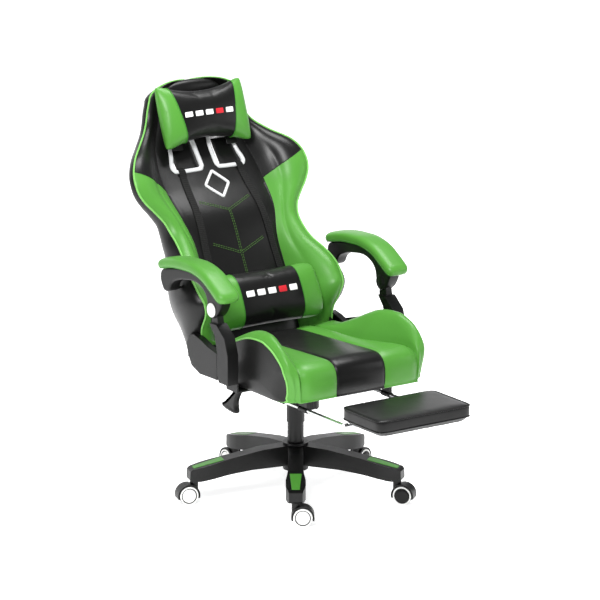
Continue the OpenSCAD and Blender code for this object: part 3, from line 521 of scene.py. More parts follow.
# Wings: between the cushion and the crest the outline swells from one shape to the other, then rolls over
wing_places = np.concatenate([[WING_IN, 152.2, 153.5, 156], np.linspace(160, 214, 15), np.linspace(218, 252,
                                        12),
                              [254, SEAT_HALF]])
PUFF = 9
for side, label in ((-1, "right"), (1, "left")):
    rows = []
    for x in wing_places:
        w = np.sin(np.clip((x - WING_IN) / (CREST - WING_IN), 0, 1) * np.pi / 2) ** 1.15
        ring = seat_ring(w)
        turn_in = np.clip((x - CREST) / (SEAT_HALF - CREST), 0, 1) ** 2.4
        ring = ring * (1 - turn_in * np.array([0.065, 0.125])) + turn_in * np.array([-6, 53])
        dip = -9 * np.exp(-((x - WING_IN) / 7) ** 2) * on_top
        fold = -7 * np.exp(-((x - 160) / 7) ** 2) * on_front
        ring = ring + ring_normal(ring) * (dip + fold)[:, None]
        rows.append(np.column_stack([np.full(SEAT_RING, x), ring]))
    edge = rows[-1]
    heart = np.array([0, edge[:, 1].mean(), 455])
    share = np.array([0.985, 0.96, 0.92, 0.86, 0.78, 0.66, 0.5, 0.3, 0.12])
    for f in share:
        panel = heart + (edge - heart) * (0, f, f)
        panel[:, 0] = SEAT_HALF + PUFF * (1 - f ** 2.5) ** 0.6
        rows.append(panel)
    rows = np.array(rows)
    start = rows[0].mean(0)
    rows = np.concatenate([[start + (rows[0] - start) * (1, f, f) for f in shrink[::-1]], rows])
    # The rear of the side panel steps in to leave room for the recliner's cover
    step = np.clip((rows[..., 1] - 8) / 26, 0, 1)
    reach = SEAT_HALF + PUFF + 1 - 44 * step * step * (3 - 2 * step)
    rows[..., 0] = np.minimum(rows[..., 0], reach) * side
    wing = skin(f"seat_wing_cover_{label}", seat_plan(rows))
    kinds = (np.arange(len(rows) - 1) >= len(rows) - 1 - len(share)).astype(int)
    paint_rows(wing, SEAT_RING, kinds)
    piece = placed(wing.name, wing, "seat", [green_leather, black_leather],
                   (f"seat_wing_{label}",))
    line = edge[(key_place > 3.0) & (key_place < 12.9)]
    line[:, 0] = np.minimum(line[:, 0] + 1.0, np.interp(line[:, 1], (8, 34), (257, 222))) * side
    cord = tube(f"seat_piping_{label}", seat_plan(line), 2.8, (1, 0, 0), sides=10)
    placed(cord.name, cord, "seat", [piping_green])


# ---------------------------------------------------------------- Recliner and arm brackets
# Pressed steel plates under moulded nylon covers at the hips; the sitter's left one carries the handle.
for label in ("right", "left"):
    rounded_copy(f"recliner_cover_{label}", 4.0, "seat", black_nylon)
    rounded_copy(f"arm_bracket_{label}", 1.5, "seat", powder_coat)
rounded_copy("recline_lever", 2.5, "recline_handle", black_nylon)


# ---------------------------------------------------------------- Backrest
# One sewn cover over foam and a hard shell. Front: a black middle pad, green bolsters that turn black at
# the shoulders and round the head, green piping round the whole edge; sides and rear are puffed black.
HINGE_Y, HINGE_Z, LEAN = 160, 461, math.radians(26)
BACK_UP = np.array([0, math.sin(LEAN), math.cos(LEAN)])
BACK_OUT = np.array([0, -math.cos(LEAN), math.sin(LEAN)])
HALF = [(-10, 236), (30, 238), (75, 242), (106, 251), (141, 257), (181, 258), (227, 250), (278, 235), (323,
                                        230),
        (364, 233), (400, 244), (434, 268), (463, 291), (495, 308), (529, 313), (564, 307), (602, 286),
        (654, 234), (699, 194), (732, 177), (761, 168), (790, 159)]
PAD_HALF = [(-10, 148), (200, 148), (323, 150), (405, 168), (503, 178), (560, 176), (640, 160), (720, 130),
            (790, 112)]
PAD_T = [(-10, -36), (100, -25), (269, -25), (409, -32), (501, -65), (597, -89), (642, -97), (720, -92),
         (790, -70), (845, -42)]
EDGE_T = [(-10, -26), (0, 4), (16, 16), (50, 38), (80, 84), (106, 104), (141, 98), (181, 85), (227, 58),
          (278, 22),
          (323, 0), (364, -16), (400, -20), (463, -18), (529, -12), (602, -25), (654, -62), (699, -82),
          (740, -82), (790, -66), (845, -38)]
REAR_T = [(-10, -95), (137, -100), (270, -100), (390, -108), (453, -125), (513, -146), (563, -156), (640,
                                        -172),
          (720, -180), (790, -174), (845, -130)]
SIDE_DEEP = [(-10, 260), (180, 240), (320, 105), (364, 80), (400, 62), (434, 50), (463, 44), (529, 40),
             (602, 38),
             (699, 38), (790, 45), (845, 60)]
CROWN, TOP, CROWN_T = 790, 845, -92


def on_back(x, t, s):
    """Place in mm of a point x across, t forward of the hinge line and s up the leaning back."""
    x, t, s = np.broadcast_arrays(np.asarray(x, float), t, s)
    return np.stack([x, np.full(x.shape, HINGE_Y), np.full(x.shape, HINGE_Z)], -1) \
        + t[..., None] * BACK_OUT + s[..., None] * BACK_UP


def crown(s):
    """1 below the crown, then a quarter circle down to 0 at the top."""
    return np.sqrt(np.clip(1 - (np.clip(s - CROWN, 0, None) / (TOP - CROWN)) ** 2, 0, 1))


def rear_corner(s):
    """Where a side panel ends at the rear: SIDE_DEEP behind the piping, but never behind the rear itself."""
    return np.maximum(through(REAR_T, s), through(EDGE_T, s) - np.interp(s, *np.transpose(SIDE_DEEP)))


def bolster_front(a, s):
    """Forward reach of the cover over a bolster, a = 0 at the pad's seam and 1 at the piping: a rise that
    slows towards the edge, plus a roll, less a crease where the inner face meets it."""
    seam, edge = through(PAD_T, s) - 5, through(EDGE_T, s)
    roll = np.interp(s, (0, 120, 300, 520, 640, 790), (10, 16, 17, 16, 10, 8))
    crease = np.interp(s, (0, 200, 260, 560, 620), (0, 3, 5, 5, 0))
    return (seam + (edge - seam) * (1 - (1 - a) ** 1.7) + roll * np.sin(np.pi * a ** 1.25) ** 0.9
            - crease * np.exp(-((a - 0.34) / 0.07) ** 2))


def pad_front(x, s):
    """Forward reach of the middle pad: its own line, a 7 mm crown, and a dip at the side seams."""
    f = np.abs(x) / through(PAD_HALF, s)
    return through(PAD_T, s) + 7 * (1 - f ** 2) - 5 * f ** 12


def split(a):
    """How far up the back the green ends, from the pad's seam out to the piping."""
    return 503 + 62 * np.clip(a, 0, 1) ** 0.9


BACK_LOW = -10
f = np.linspace(0, 1, 15)
a = np.array([0.02, 0.06, 0.12, 0.2, 0.27, 0.31, 0.34, 0.37, 0.41, 0.48, 0.56, 0.64, 0.72, 0.8, 0.87, 0.93,
              0.97, 1])
b = np.array([0.04, 0.1, 0.2, 0.33, 0.48, 0.63, 0.78, 0.9, 0.97, 1])
c = np.linspace(0.1, 1, 10)
kind = np.concatenate([np.zeros(len(f)), np.ones(len(a)), np.full(len(b), 2), np.full(len(c), 3)])
share = np.concatenate([f, a, b, c])
lower = 1 - (1 - np.linspace(0, 1, 64)) ** 1.1
upper = np.linspace(0, 1, 28)[1:]
over = np.sin(np.linspace(0, 0.97, 12)[1:] * np.pi / 2)
line = np.where(kind == 1, split(share), np.where(kind == 0, split(0), split(1)))
s = np.concatenate([
    BACK_LOW + (line - BACK_LOW) * lower[:, None], line + (CROWN - line) * upper[:, None],
    CROWN + (TOP - CROWN) * over[:, None] * np.ones_like(line)])
half, pad_half = through(HALF, s), through(PAD_HALF, s)
edge, rear = through(EDGE_T, s), through(REAR_T, s)
corner = rear_corner(s)
hip = np.interp(s, (40, 75, 135, 205), (0, 1, 1, 0))
puff = (np.interp(s, (330, 400), (13, 6)) * np.sin(np.pi * share) ** 0.8
        + 20 * hip * np.sin(np.pi * share ** 0.5))
x = np.select([kind == 0, kind == 1, kind == 2], [
    share * pad_half, pad_half + share * (half - pad_half),
    half + puff - 16 * share ** 5], (half - 16) * (1 - share))
t = np.select([kind == 0, kind == 1, kind == 2], [
    pad_front(share * pad_half, s), bolster_front(share, s), edge + (corner - edge) * share],
    corner + (rear - corner) * share ** 0.8 - 10 * (1 - (1 - share) ** 2))
x, t = x * crown(s), CROWN_T + (t - CROWN_T) * crown(s) ** 0.55
right = on_back(x, t, s)
rows = np.concatenate([right, right[:, -2:0:-1] * (-1, 1, 1)], 1)
cover = skin("backrest_cover", rows)
green = (kind[1:] == 1) & (kind[:-1] <= 1)
ring_green = np.zeros(rows.shape[1], bool)
ring_green[:len(green)] = green
ring_green[rows.shape[1] - len(green):] = green[::-1]
paint = (np.arange(len(rows) - 1)[:, None] < len(lower) - 1) & ring_green[None]
numbers = np.concatenate([paint.reshape(-1), np.zeros(2 * rows.shape[1])]).astype(np.int32)
cover.polygons.foreach_set("material_index", numbers)
backrest = placed(cover.name, cover, "back", [black_leather, green_leather],
                  ("back_pad", "back_shell", "back_bolster_right", "back_bolster_left"))

# Harness openings go right through the cover and the shell
RING_LOW, RING_HIGH = 556, 665


def opening(grow):
    """Rounded outline of a harness opening on the sitter's left, as (x, s), grown by so many mm."""
    corners = np.array([
        (30 - grow, RING_HIGH + grow), (24 - grow, RING_LOW + 24), (30 - grow / 2, RING_LOW + 6 - grow / 2),
        (42, RING_LOW - grow), (112, RING_LOW - grow), (127 + grow / 2, RING_LOW + 7 - grow / 2),
        (131 + grow, RING_LOW + 22), (122 + grow, RING_LOW + 52), (106 + grow, RING_HIGH + grow),
        (68, RING_HIGH + grow)])
    return closed_curve(corners, 64)


for side in (-1, 1):
    hole = opening(-3)
    depths = (20, -260)
    cut = skin("opening_cutter", [on_back(hole[:, 0] * side, t_at, hole[:, 1]) for t_at in depths])
    cutter = bpy.data.objects.new("opening_cutter", cut)
    bpy.context.scene.collection.objects.link(cutter)
    through_cut = backrest.modifiers.new("opening", "BOOLEAN")
    through_cut.operation, through_cut.object, through_cut.solver = "DIFFERENCE", cutter, "EXACT"
    bpy.context.view_layer.update()
    cleared = bpy.data.meshes.new_from_object(backrest.evaluated_get(bpy.context.evaluated_depsgraph_get()))
    backrest.modifiers.remove(through_cut)
    backrest.data = cleared
    bpy.data.objects.remove(cutter)
backrest.data.name = "backrest_cover"
backrest.data.shade_smooth()
backrest.data.set_sharp_from_angle(angle=math.radians(55))

# Piping round the edge, cords in the pad's side seams and along the colour change, seams on the rear
s = np.concatenate([
    np.linspace(4, CROWN, 150), CROWN + (TOP - CROWN) * np.sin(np.linspace(0.02, 0.995, 24) * np.pi / 2)])
edge_x = (through(HALF, s) + 1) * crown(s)
edge_t = CROWN_T + (through(EDGE_T, s) + 1 - CROWN_T) * crown(s) ** 0.55
path = on_back(edge_x, edge_t, s)
path = np.concatenate([path, path[::-1] * (-1, 1, 1)])
cord = tube("backrest_piping", path, 2.9, BACK_OUT, sides=10)
placed(cord.name, cord, "back", [piping_green])
for side, label in ((-1, "right"), (1, "left")):
    s = np.linspace(0, 785, 150)
    x = through(PAD_HALF, s)
    path = on_back(side * x, pad_front(x, s) + 0.5, s)
    cord = tube(f"pad_seam_{label}", path, 1.3, BACK_OUT)
    placed(cord.name, cord, "back", [seam_dark])
    a = np.linspace(0, 1, 40)
    s = split(a)
    x = through(PAD_HALF, s) + a * (through(HALF, s) - through(PAD_HALF, s))
    cord = tube(f"shoulder_seam_{label}", on_back(side * x, bolster_front(a, s) + 0.2, s), 1.1, BACK_OUT)
    placed(cord.name, cord, "back", [seam_dark])
    s = np.linspace(10, 770, 100)
    behind = through(REAR_T, s)
    rim = rear_corner(s)
    share = 1 - 112 / (through(HALF, s) - 16)
    behind = rim + (behind - rim) * share ** 0.8 - 10 * (1 - (1 - share) ** 2)
    rear_line = on_back(side * 112, behind + 0.3, s)
    cord = tube(f"rear_seam_{label}", rear_line, 1.6, BACK_OUT)
    placed(cord.name, cord, "back", [seam_dark])

# Moulded trims round the openings: a rounded bead, pale silver
satin_silver = moulded("satin_silver_abs", "#d6d7d8", 2.0, 0.3, 0.00005)
for side, label in ((-1, "right"), (1, "left")):
    ring = opening(-2)
    lift = pad_front(ring[:, 0], ring[:, 1]) - 1.5
    trim = tube(f"harness_trim_{label}", on_back(side * ring[:, 0], lift, ring[:, 1]), 7.2, BACK_OUT,
                closed=True, sides=12)
    placed(trim.name, trim, "back", [satin_silver], ("harness_rings",))


# ---------------------------------------------------------------- Stitching and emblem
# Double rows of muted green thread sewn into the middle pad as chevrons, and a plain diamond badge.
thread = moulded("green_polyester_thread", "#48702f", 1.0, 0.6, 0.0001)


def stitches(name, start, end, pitch=8.0, length=5.6, radius=0.8):
    """Row of stitches from start to end on the pad, as (x, s): each is a short bar that dips at its ends."""
    start, end = np.array(start, float), np.array(end, float)
    run = np.linalg.norm(end - start)
    count = max(int(run / pitch), 1)
    along = (np.arange(count) + 0.5)[:, None] * run / count + np.linspace(-0.5, 0.5, 5)[None] * length
    xs = start + (end - start) * (along / run)[..., None]
    lift = pad_front(xs[..., 0], xs[..., 1]) + 0.9 * np.cos(np.linspace(-1, 1, 5) * 1.2)[None]
    middle = on_back(xs[..., 0], lift, xs[..., 1])
    run_3d = np.gradient(middle, axis=1)
    run_3d /= np.linalg.norm(run_3d, axis=-1)[..., None]
    side = np.cross(run_3d, BACK_OUT)
    angle = np.arange(6) * np.pi / 3
    rings = middle[:, :, None] + radius * (
        np.cos(angle)[:, None] * side[:, :, None] + np.sin(angle)[:, None] * BACK_OUT)
    i = np.arange(count)[:, None, None] * 30
    j, k = np.arange(4)[None, :, None] * 6, np.arange(6)[None, None, :]
    nxt = (k + 1) % 6
    faces = np.stack([i + j + k, i + j + nxt, i + j + 6 + nxt, i + j + 6 + k], -1).reshape(-1, 4)
    mesh = bpy.data.meshes.new(name)
    mesh.from_pydata((rings.reshape(-1, 3) / 1000).tolist(), [], faces.tolist())
    tidied(mesh, fill=True)
    return mesh


PAIR = 2.8
for number, (start, end) in enumerate((
        ((0, 410), (92, 449)), ((0, 410), (-92, 449)), ((0, 270), (92, 309)), ((0, 270), (-92, 309)),
        ((0, 408), (0, 274)), ((0, 266), (0, 200)))):
    start, end = np.array(start, float), np.array(end, float)
    aside = np.array([-(end - start)[1], (end - start)[0]]) / np.linalg.norm(end - start) * PAIR
    for sign in (-1, 1):
        row = stitches(f"stitches_{number}_{'ab'[sign > 0]}", start + sign * aside, end + sign * aside)
        placed(row.name, row, "back", [thread])
corners = np.array([(0, 545), (8, 538), (36, 508), (40, 501), (36, 494), (8, 464), (0, 457), (-8, 464),
                    (-36, 494),
                    (-40, 501), (-36, 508), (-8, 538)])
ring = closed_curve(corners, 72)
badge = tube("diamond_badge", on_back(ring[:, 0], pad_front(ring[:, 0], ring[:, 1]) + 0.5, ring[:, 1]), 4.6,
             BACK_OUT, closed=True, sides=12)
placed(badge.name, badge, "back", [satin_silver])


# ---------------------------------------------------------------- Pillow straps
# Flat woven polypropylene webbing over the pad, wider where it turns through the harness openings.
def webbing(name, code):
    """Woven strap: ribs across it every 4 mm (2 mm on the real one) from a sine wave up the piece."""
    material, tree, shader, place = finish_of(
        name, code, Roughness=0.75, Sheen_Weight=0.04, Specular_IOR_Level=0.2)
    ribs = add(tree, "ShaderNodeTexWave", {"Scale": 60.0, "Distortion": 0.6}, {"Vector": place},
               bands_direction="Z")
    bump = add(tree, "ShaderNodeBump", {"Strength": 0.6, "Distance": 0.0006}, {"Height": ribs.outputs["Fac"]})
    tree.links.new(bump.outputs["Normal"], shader.inputs["Normal"])
    tint = add(tree, "ShaderNodeMix", {6: linear(code), 7: linear("#171716")}, {0: ribs.outputs["Fac"]},
               data_type="RGBA")
    tree.links.new(tint.outputs[2], shader.inputs["Base Color"])
    return material


black_webbing = webbing("black_polypropylene_webbing", "#060606")


def strap(name, middle, width, lift, thick=2.0):
    """Flat band over the pad: at each (x, s) of its middle line a rounded section of its width, raised."""
    middle, width = np.asarray(middle, float), np.broadcast_to(width, len(middle))
    cut = np.array([(-0.5, 0.3), (-0.47, 0.9), (-0.3, 1), (0, 1), (0.3, 1), (0.47, 0.9), (0.5, 0.3), (0.47,
                                        0),
                    (0, 0), (-0.47, 0)])
    x = middle[:, :1] + cut[None, :, 0] * width[:, None]
    s = np.broadcast_to(middle[:, 1:], x.shape)
    t = pad_front(x, s) + np.broadcast_to(lift, len(middle))[:, None] + cut[None, :, 1] * thick
    return skin(name, on_back(x, t, s))


for side, label in ((-1, "right"), (1, "left")):
    s = np.linspace(190, 600, 60)
    x = np.interp(s, (196, 256, 390, 539, 600), (125, 123, 117, 106, 103))
    lift = np.interp(s, (540, 550, 562, 572, 600), (1.5, 6.2, 6.2, -2, -6))
    band = strap(f"pillow_strap_{label}", np.column_stack([side * x, s]), 24, lift)
    placed(band.name, band, "back", [black_webbing], ("pillow_straps",))
    s = np.linspace(560, 652, 20)
    x = side * np.interp(s, (560, 650), (78, 76))
    flap = strap(f"strap_flap_{label}", np.column_stack([x, s]), 76, -4, 5)
    placed(flap.name, flap, "back", [black_leather])
rounded_copy("strap_buckles", 1.5, "headrest", black_nylon)


# ---------------------------------------------------------------- Pillows
# Head and lumbar pillows: fibre-filled leather tubes, black in the middle with green ends sewn flat, which
# pull the ends wide and thin. Plain bars stand in the middle of each.
def stuffed(piece, voxel, cap, pressure=4.0, frames=20):
    """Blows a closed mesh up as sewn cloth: remeshed at voxel mm, inflated without gravity for some frames,
    with no point moved over cap mm, then subdivided once."""
    scene = bpy.context.scene
    remesh = piece.modifiers.new("remesh", "REMESH")
    remesh.mode, remesh.voxel_size = "VOXEL", voxel / 1000
    graph = bpy.context.evaluated_depsgraph_get()
    fresh = bpy.data.meshes.new_from_object(piece.evaluated_get(graph))
    piece.modifiers.remove(remesh)
    materials = list(piece.data.materials)
    name = piece.data.name
    piece.data = fresh
    cloth = piece.modifiers.new("cloth", "CLOTH")
    cloth.settings.use_pressure = True
    cloth.settings.uniform_pressure_force = pressure
    cloth.settings.effector_weights.gravity = 0
    cloth.settings.quality = 5
    cloth.settings.tension_stiffness = cloth.settings.compression_stiffness = 15
    cloth.settings.bending_stiffness = 0.5
    cloth.point_cache.frame_end = frames
    for number in range(1, frames + 1):
        scene.frame_set(number)
    graph = bpy.context.evaluated_depsgraph_get()
    blown = piece.evaluated_get(graph).to_mesh()
    count = len(fresh.vertices)
    before, after = np.empty(count * 3), np.empty(count * 3)
    fresh.vertices.foreach_get("co", before)
    blown.vertices.foreach_get("co", after)
    piece.evaluated_get(graph).to_mesh_clear()
    move = (after - before).reshape(-1, 3)
    far = np.linalg.norm(move, axis=1)[:, None]
    move *= np.minimum(1, cap / 1000 / np.maximum(far, 1e-9))
    fresh.vertices.foreach_set("co", (before.reshape(-1, 3) + move).reshape(-1))
    piece.modifiers.remove(cloth)
    scene.frame_set(1)
    fresh.name = name
    fresh.materials.clear()
    for material in materials:
        fresh.materials.append(material)
    fresh.shade_smooth()
    smooth = piece.modifiers.new("smooth", "SUBSURF")
    smooth.levels = smooth.render_levels = 1


def striped_leather(name, border, slant):
    """Black coated leather where |x| < border + slant * (s - 640) mm, s being the height up the back, and
    green outside it, both from the piece's own coordinates."""
    material = coated_leather(name, *BLACKS, 0.33)
    tree = material.node_tree
    shader = tree.nodes["Principled BSDF"]
    dark = shader.inputs["Base Color"].links[0].from_socket
    place = tree.nodes["Texture Coordinate"].outputs["Object"]
    drift = tree.nodes["Noise Texture.001"].outputs["Fac"]
    green = add(tree, "ShaderNodeMix", {6: linear(GREENS[0]), 7: linear(GREENS[1])}, {0: drift},
                data_type="RGBA")
    parts = add(tree, "ShaderNodeSeparateXYZ", links={"Vector": place})
    out = add(tree, "ShaderNodeMath", links={0: parts.outputs["X"]}, operation="ABSOLUTE")
    high = add(tree, "ShaderNodeVectorMath", {1: tuple(BACK_UP * slant)}, {0: place}, operation="DOT_PRODUCT")
    past = add(tree, "ShaderNodeMath", links={0: out.outputs[0], 1: high.outputs["Value"]},
               operation="SUBTRACT")
    base = (border - slant * (640 + BACK_UP @ (0, HINGE_Y, HINGE_Z))) / 1000
    edge = add(tree, "ShaderNodeMath", {1: base}, {0: past.outputs[0]}, operation="GREATER_THAN")
    tint = add(tree, "ShaderNodeMix", links={0: edge.outputs[0], 6: dark, 7: green.outputs[2]},
               data_type="RGBA")
    tree.links.new(tint.outputs[2], shader.inputs["Base Color"])
    return material


def pillow(name, half_width, half_height, half_depth, flare, thin, middle, tilt=0.0):
    """Bolster: superellipse sections from end to end. Its half-height grows by flare towards the ends, its
    half-depth falls to thin there, and half_width may depend on how far forward a point is."""
    u = np.sin(np.linspace(-1, 1, 49) * np.pi / 2)
    v = np.linspace(0, 2 * np.pi, 72, endpoint=False)
    height = half_height * (1 + flare * u ** 2) * (1 - 0.10 * u ** 10)
    depth = thin + (half_depth - thin) * (1 - np.abs(u) ** 3.2) ** 0.6
    d = depth[:, None] * (signed_power(np.cos(v), 0.85))[None]
    h = height[:, None] * (signed_power(np.sin(v), 0.8))[None]
    x = u[:, None] * half_width(d)
    c, s_ = math.cos(tilt), math.sin(tilt)
    return skin(name, on_back(x, middle[0] + d * c - h * s_, middle[1] + h * c + d * s_))


HEAD_T, HEAD_S, LUMBAR_T, LUMBAR_S = -37, 722, 44, 112
# Where black meets green: distance from the middle, and how fast it grows up the head pillow
HEAD_BORDER, HEAD_SLANT, LUMBAR_BORDER = 85, 0.1875, 110
head_mesh = pillow("head_pillow_cover", lambda d: 158 + 0 * d, 76, 38, 0.42, 8, (HEAD_T, HEAD_S),
                   math.radians(-6))
head = placed(head_mesh.name, head_mesh, "headrest",
              [striped_leather("head_pillow_leather", HEAD_BORDER, HEAD_SLANT)], ("head_pillow",))
stuffed(head, 5, 3)
lumbar_mesh = pillow("lumbar_pillow_cover", lambda d: np.interp(d, (-56, -28, 30, 56), (150, 168, 197, 192)),
                     85, 50, 0.04, 22, (LUMBAR_T, LUMBAR_S))
lumbar = placed(lumbar_mesh.name, lumbar_mesh, "lumbar",
                [striped_leather("lumbar_pillow_leather", LUMBAR_BORDER, 0)], ("lumbar_pillow",))
stuffed(lumbar, 5, 3)


def girdle(piece, side, border, slant, count=90):
    """Closed line round a piece where side * x = border + slant * (s - 640) mm: edge crossings, averaged by
    angle about their middle."""
    graph = bpy.context.evaluated_depsgraph_get()
    mesh = piece.evaluated_get(graph).to_mesh()
    co = np.empty(len(mesh.vertices) * 3)
    mesh.vertices.foreach_get("co", co)
    ends = np.empty(len(mesh.edges) * 2, np.int32)
    mesh.edges.foreach_get("vertices", ends)
    piece.evaluated_get(graph).to_mesh_clear()
    p = co.reshape(-1, 3)[ends.reshape(-1, 2)] * 1000
    over = side * p[..., 0] - border - slant * ((p - (0, HINGE_Y, HINGE_Z)) @ BACK_UP - 640)
    hit = over[:, 0] * over[:, 1] < 0
    near, far, over = p[hit, 0], p[hit, 1], over[hit]
    f = (over[:, 0] / (over[:, 0] - over[:, 1]))[:, None]
    q = near + (far - near) * f
    heart = q.mean(0)
    angle = np.arctan2(q[:, 2] - heart[2], q[:, 1] - heart[1])
    order = np.argsort(angle)
    want = np.linspace(-np.pi, np.pi, count, endpoint=False)
    reach = np.interp(want, angle[order], np.linalg.norm(q[order] - heart, axis=1), period=2 * np.pi)
    reach = (np.roll(reach, 1) + 2 * reach + np.roll(reach, -1)) / 4
    ring = np.column_stack([np.zeros(count), heart[1] + reach * np.cos(want),
                            heart[2] + reach * np.sin(want)])
    ring[:, 0] = side * (border + slant * ((ring - (0, HINGE_Y, HINGE_Z)) @ BACK_UP - 640))
    return ring


for piece, body, border, slant in (
        (head, "headrest", HEAD_BORDER, HEAD_SLANT), (lumbar, "lumbar", LUMBAR_BORDER, 0)):
    for side in (-1, 1):
        line = girdle(piece, side, border, slant)
        cord = tube(f"{body}_seam_{'ab'[side > 0]}", line, 1.5, (1, 0, 0), closed=True)
        placed(cord.name, cord, body, [seam_green])


# Bars: short raised strips of white and red film pressed on the leather, instead of any lettering
white_film = moulded("white_pressed_film", "#ececea", 2.0, 0.4, 0.00003)
red_film = moulded("red_pressed_film", "#c3202b", 2.0, 0.4, 0.00003)


def pressed_bar(name, piece, x0, x1, s_at, tall, out_from):
    """Thin rounded bar laid on a pillow's front: a grid of points cast on to it along the way the back
    faces, raised 0.7 mm, with a rim that dips under the surface."""
    u, v = np.meshgrid(np.linspace(-1, 1, 11), np.linspace(-1, 1, 5))
    x, s = (x0 + x1) / 2 + u * (x1 - x0) / 2, s_at + v * tall / 2
    starts = on_back(x, out_from, s) / 1000
    graph = bpy.context.evaluated_depsgraph_get()
    solid = piece.evaluated_get(graph)
    hits = np.array([[tuple(solid.ray_cast(Vector(p), Vector(-BACK_OUT))[1]) for p in row] for row in starts])
    rim = (np.abs(u) == 1) | (np.abs(v) == 1)
    points = hits * 1000 + BACK_OUT * np.where(rim, -0.6, 0.8)[..., None]
    return skin(name, points, ends=False, ring=False)


for piece, body, s_at, step, tall, out_from in (
        (head, "headrest", 716, 37, 20, 90), (lumbar, "lumbar", 120, 39, 24, 180)):
    for number in range(5):
        x_mid = (number - 2) * step
        film = red_film if number == 3 else white_film
        half_bar = step * 0.40
        bar = pressed_bar(f"{body}_bar_{number}", piece, x_mid - half_bar, x_mid + half_bar, s_at, tall,
                          out_from)
        placed(bar.name, bar, body, [film])


# ---------------------------------------------------------------- Armrests
# Each is a curved nylon beam on a nylon post, with a foam pad in green leather on top and a pale cap over
# the pivot pin. Beam and post turn as the back reclines.
ARM_X, POST_W, PAD_W = 305, 38, 74
PIVOT = np.array([-38, 631])
PAD_UNDER = np.array([(278, 66), (240, 78), (188, 88), (135, 92), (84, 92), (33, 81), (-8, 60), (-44, 38),
                      (-66, 24)])
BEAM_LOW = np.array([
    (-47, 22), (-28, -9), (0, -26), (21, -14), (30, 30), (54, 54), (98, 66), (160, 59), (200, 48), (224, 34),
    (238, 12), (252, 4), (270, 8), (286, 38)])


def arm_pad_rows(x_mid):
    """Sections of an arm pad along its curved underside: a flat sole, sides that bulge, a domed top. The
    last 26 mm at each end shrink as a quarter circle."""
    key = np.arange(len(PAD_UNDER))
    at = np.linspace(0, len(PAD_UNDER) - 1, 60)
    path = PIVOT + np.stack([through(np.column_stack([key, PAD_UNDER[:, i]]), at) for i in (0, 1)], -1)
    run = np.gradient(path, axis=0)
    run /= np.linalg.norm(run, axis=1)[:, None]
    out = np.stack([run[:, 1], -run[:, 0]], -1)
    gone = np.concatenate([[0], np.cumsum(np.linalg.norm(np.diff(path, axis=0), axis=1))])
    left = np.minimum(gone, gone[-1] - gone)
    full = np.sqrt(np.clip(1 - (1 - np.clip(left / 26, 0, 1)) ** 2, 0.004, 1))
    v = np.linspace(0, 2 * np.pi, 44, endpoint=False)
    across_x = signed_power(np.cos(v), 0.62) * (PAD_W / 2 + 1)
    height = 14 + np.where(np.sin(v) > 0, 19, 14) * signed_power(np.sin(v), 0.72)
    d = np.clip(14 + (height - 14)[None] * full[:, None] ** 0.8, 0.6, None)
    plane = path[:, None] + out[:, None] * d[..., None]
    wide = x_mid + across_x[None] * (0.45 + 0.55 * full[:, None]) * np.where(full[:, None] < 0.1, 0.6, 1)
    return np.concatenate([wide[..., None], plane], -1)


cap_face = moulded("light_grey_abs_cap", "#d8d8d6", 2.0, 0.35, 0.00005)
for side, label in ((-1, "right"), (1, "left")):
    x_mid = side * ARM_X
    rows = arm_pad_rows(x_mid)
    pad = placed(f"arm_pad_cover_{label}", skin(f"arm_pad_cover_{label}", rows), f"beam_{label}",
                 [green_leather], (f"arm_pad_{label}",))
    low = 40
    lip = np.concatenate([rows[2:-2, low], rows[-3:2:-1, 22 + (44 - low)]])
    cord = tube(f"arm_pad_seam_{label}", lip, 1.9, (0, 0, 1), closed=True)
    placed(cord.name, cord, f"beam_{label}", [seam_green])
    outline = np.concatenate([PAD_UNDER[:-1], BEAM_LOW]) + PIVOT
    beam = slab(f"arm_beam_{label}_look", outline, *sorted((x_mid - POST_W / 2, x_mid + POST_W / 2)), 5, 160)
    placed(beam.name, beam, f"beam_{label}", [black_nylon], (f"arm_beam_{label}",))
    boss = turned(f"arm_boss_{label}", [(2, -19.5), (22, -19.5), (24, -17.5), (24, 17.5), (22, 19.8), (2,
                                        19.8)],
                  (x_mid, *PIVOT), (side, 0, 0))
    placed(boss.name, boss, f"beam_{label}", [black_nylon])
    cap = turned(f"pivot_cap_{label}_look", [(2, 18.0), (20.5, 18.0), (21.5, 20.5), (20.8, 22.6), (18.4,
                                        23.9), (10, 24.6),
                                             (2, 24.8)], (x_mid, *PIVOT), (side, 0, 0))
    placed(cap.name, cap, f"beam_{label}", [cap_face], (f"pivot_cap_{label}",))
    rounded_copy(f"arm_post_{label}", 4.0, f"post_{label}", black_nylon)


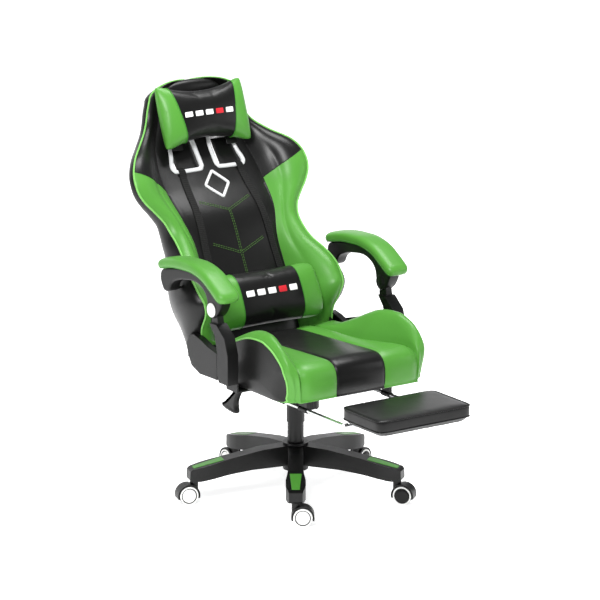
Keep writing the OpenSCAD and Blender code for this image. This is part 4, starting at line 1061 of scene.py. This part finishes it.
# ---------------------------------------------------------------- Footrest
# Two plated rods slide under the seat and carry a padded board on hinged brackets, covered in black leather
# with a sewn seam along its edges.
rounded_copy("footrest_brackets", 1.0, "foot_flap", chrome)
low, high = (np.array(corner) * 1000 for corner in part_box("footrest_pad"))
pad_low = low[2]
board_low, board_high = (np.array(corner) * 1000 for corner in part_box("footrest_board"))
low[2] = board_low[2]


def box_pad(name, low, high, bulge):
    """Cushioned block: superellipse sections up its height, whose top and bottom crown by bulge mm, and
    which draw in to the board's outline below the foam."""
    middle, size = (low + high) / 2, (high - low) / 2
    v = np.linspace(0, 2 * np.pi, 128, endpoint=False)
    power = 0.16
    cx = signed_power(np.cos(v), power)
    cy = signed_power(np.sin(v), power)
    level = np.concatenate([np.full(9, -1.0), np.linspace(-1, 1, 13)[1:-1], np.full(9, 1.0)])
    inward = np.concatenate([np.linspace(0.1, 0.985, 9), 1 - 0.012 * np.abs(np.linspace(-1, 1,
                                        13)[1:-1]) ** 6,
                             np.linspace(0.985, 0.1, 9)])
    draw = np.clip((pad_low + 4 - middle[2] - level * size[2]) / 6, 0, 1)[:, None]
    size_x, size_y = (size[i] + draw * ((board_high - board_low)[i] / 2 + 0.8 - size[i]) for i in (0, 1))
    mid_y = middle[1] + draw * ((board_low + board_high)[1] / 2 - middle[1])
    crowned = middle[2] + level * size[2] + level * bulge * np.clip(1 - inward ** 4, 0, 1)
    rows = np.stack([
        middle[0] + size_x * cx[None] * inward[:, None], mid_y + size_y * cy[None] * inward[:, None],
        np.broadcast_to(crowned[:, None], (len(level), len(v)))], -1)
    return skin(name, rows)


foot_mesh = box_pad("footrest_cover", low + (2, 2, 0.3), high - (2, 2, 3), 2)
foot = placed(foot_mesh.name, foot_mesh, "foot_flap", [black_leather],
              ("footrest_pad", "footrest_board"))
stuffed(foot, 5, 1.2)
v = np.linspace(0, 2 * np.pi, 160, endpoint=False)
for level, label in ((high[2] - 5, "top"), (pad_low + 5, "bottom")):
    ring = np.stack([
        (high[0] - 3.2) * signed_power(np.cos(v), 0.16),
        (low[1] + high[1]) / 2 + ((high[1] - low[1]) / 2 - 3.2) * signed_power(np.sin(v), 0.16),
        np.full(len(v), level)], -1)
    cord = tube(f"footrest_seam_{label}", ring, 2.0, (0, 0, 1), closed=True)
    placed(cord.name, cord, "foot_flap", [black_leather])
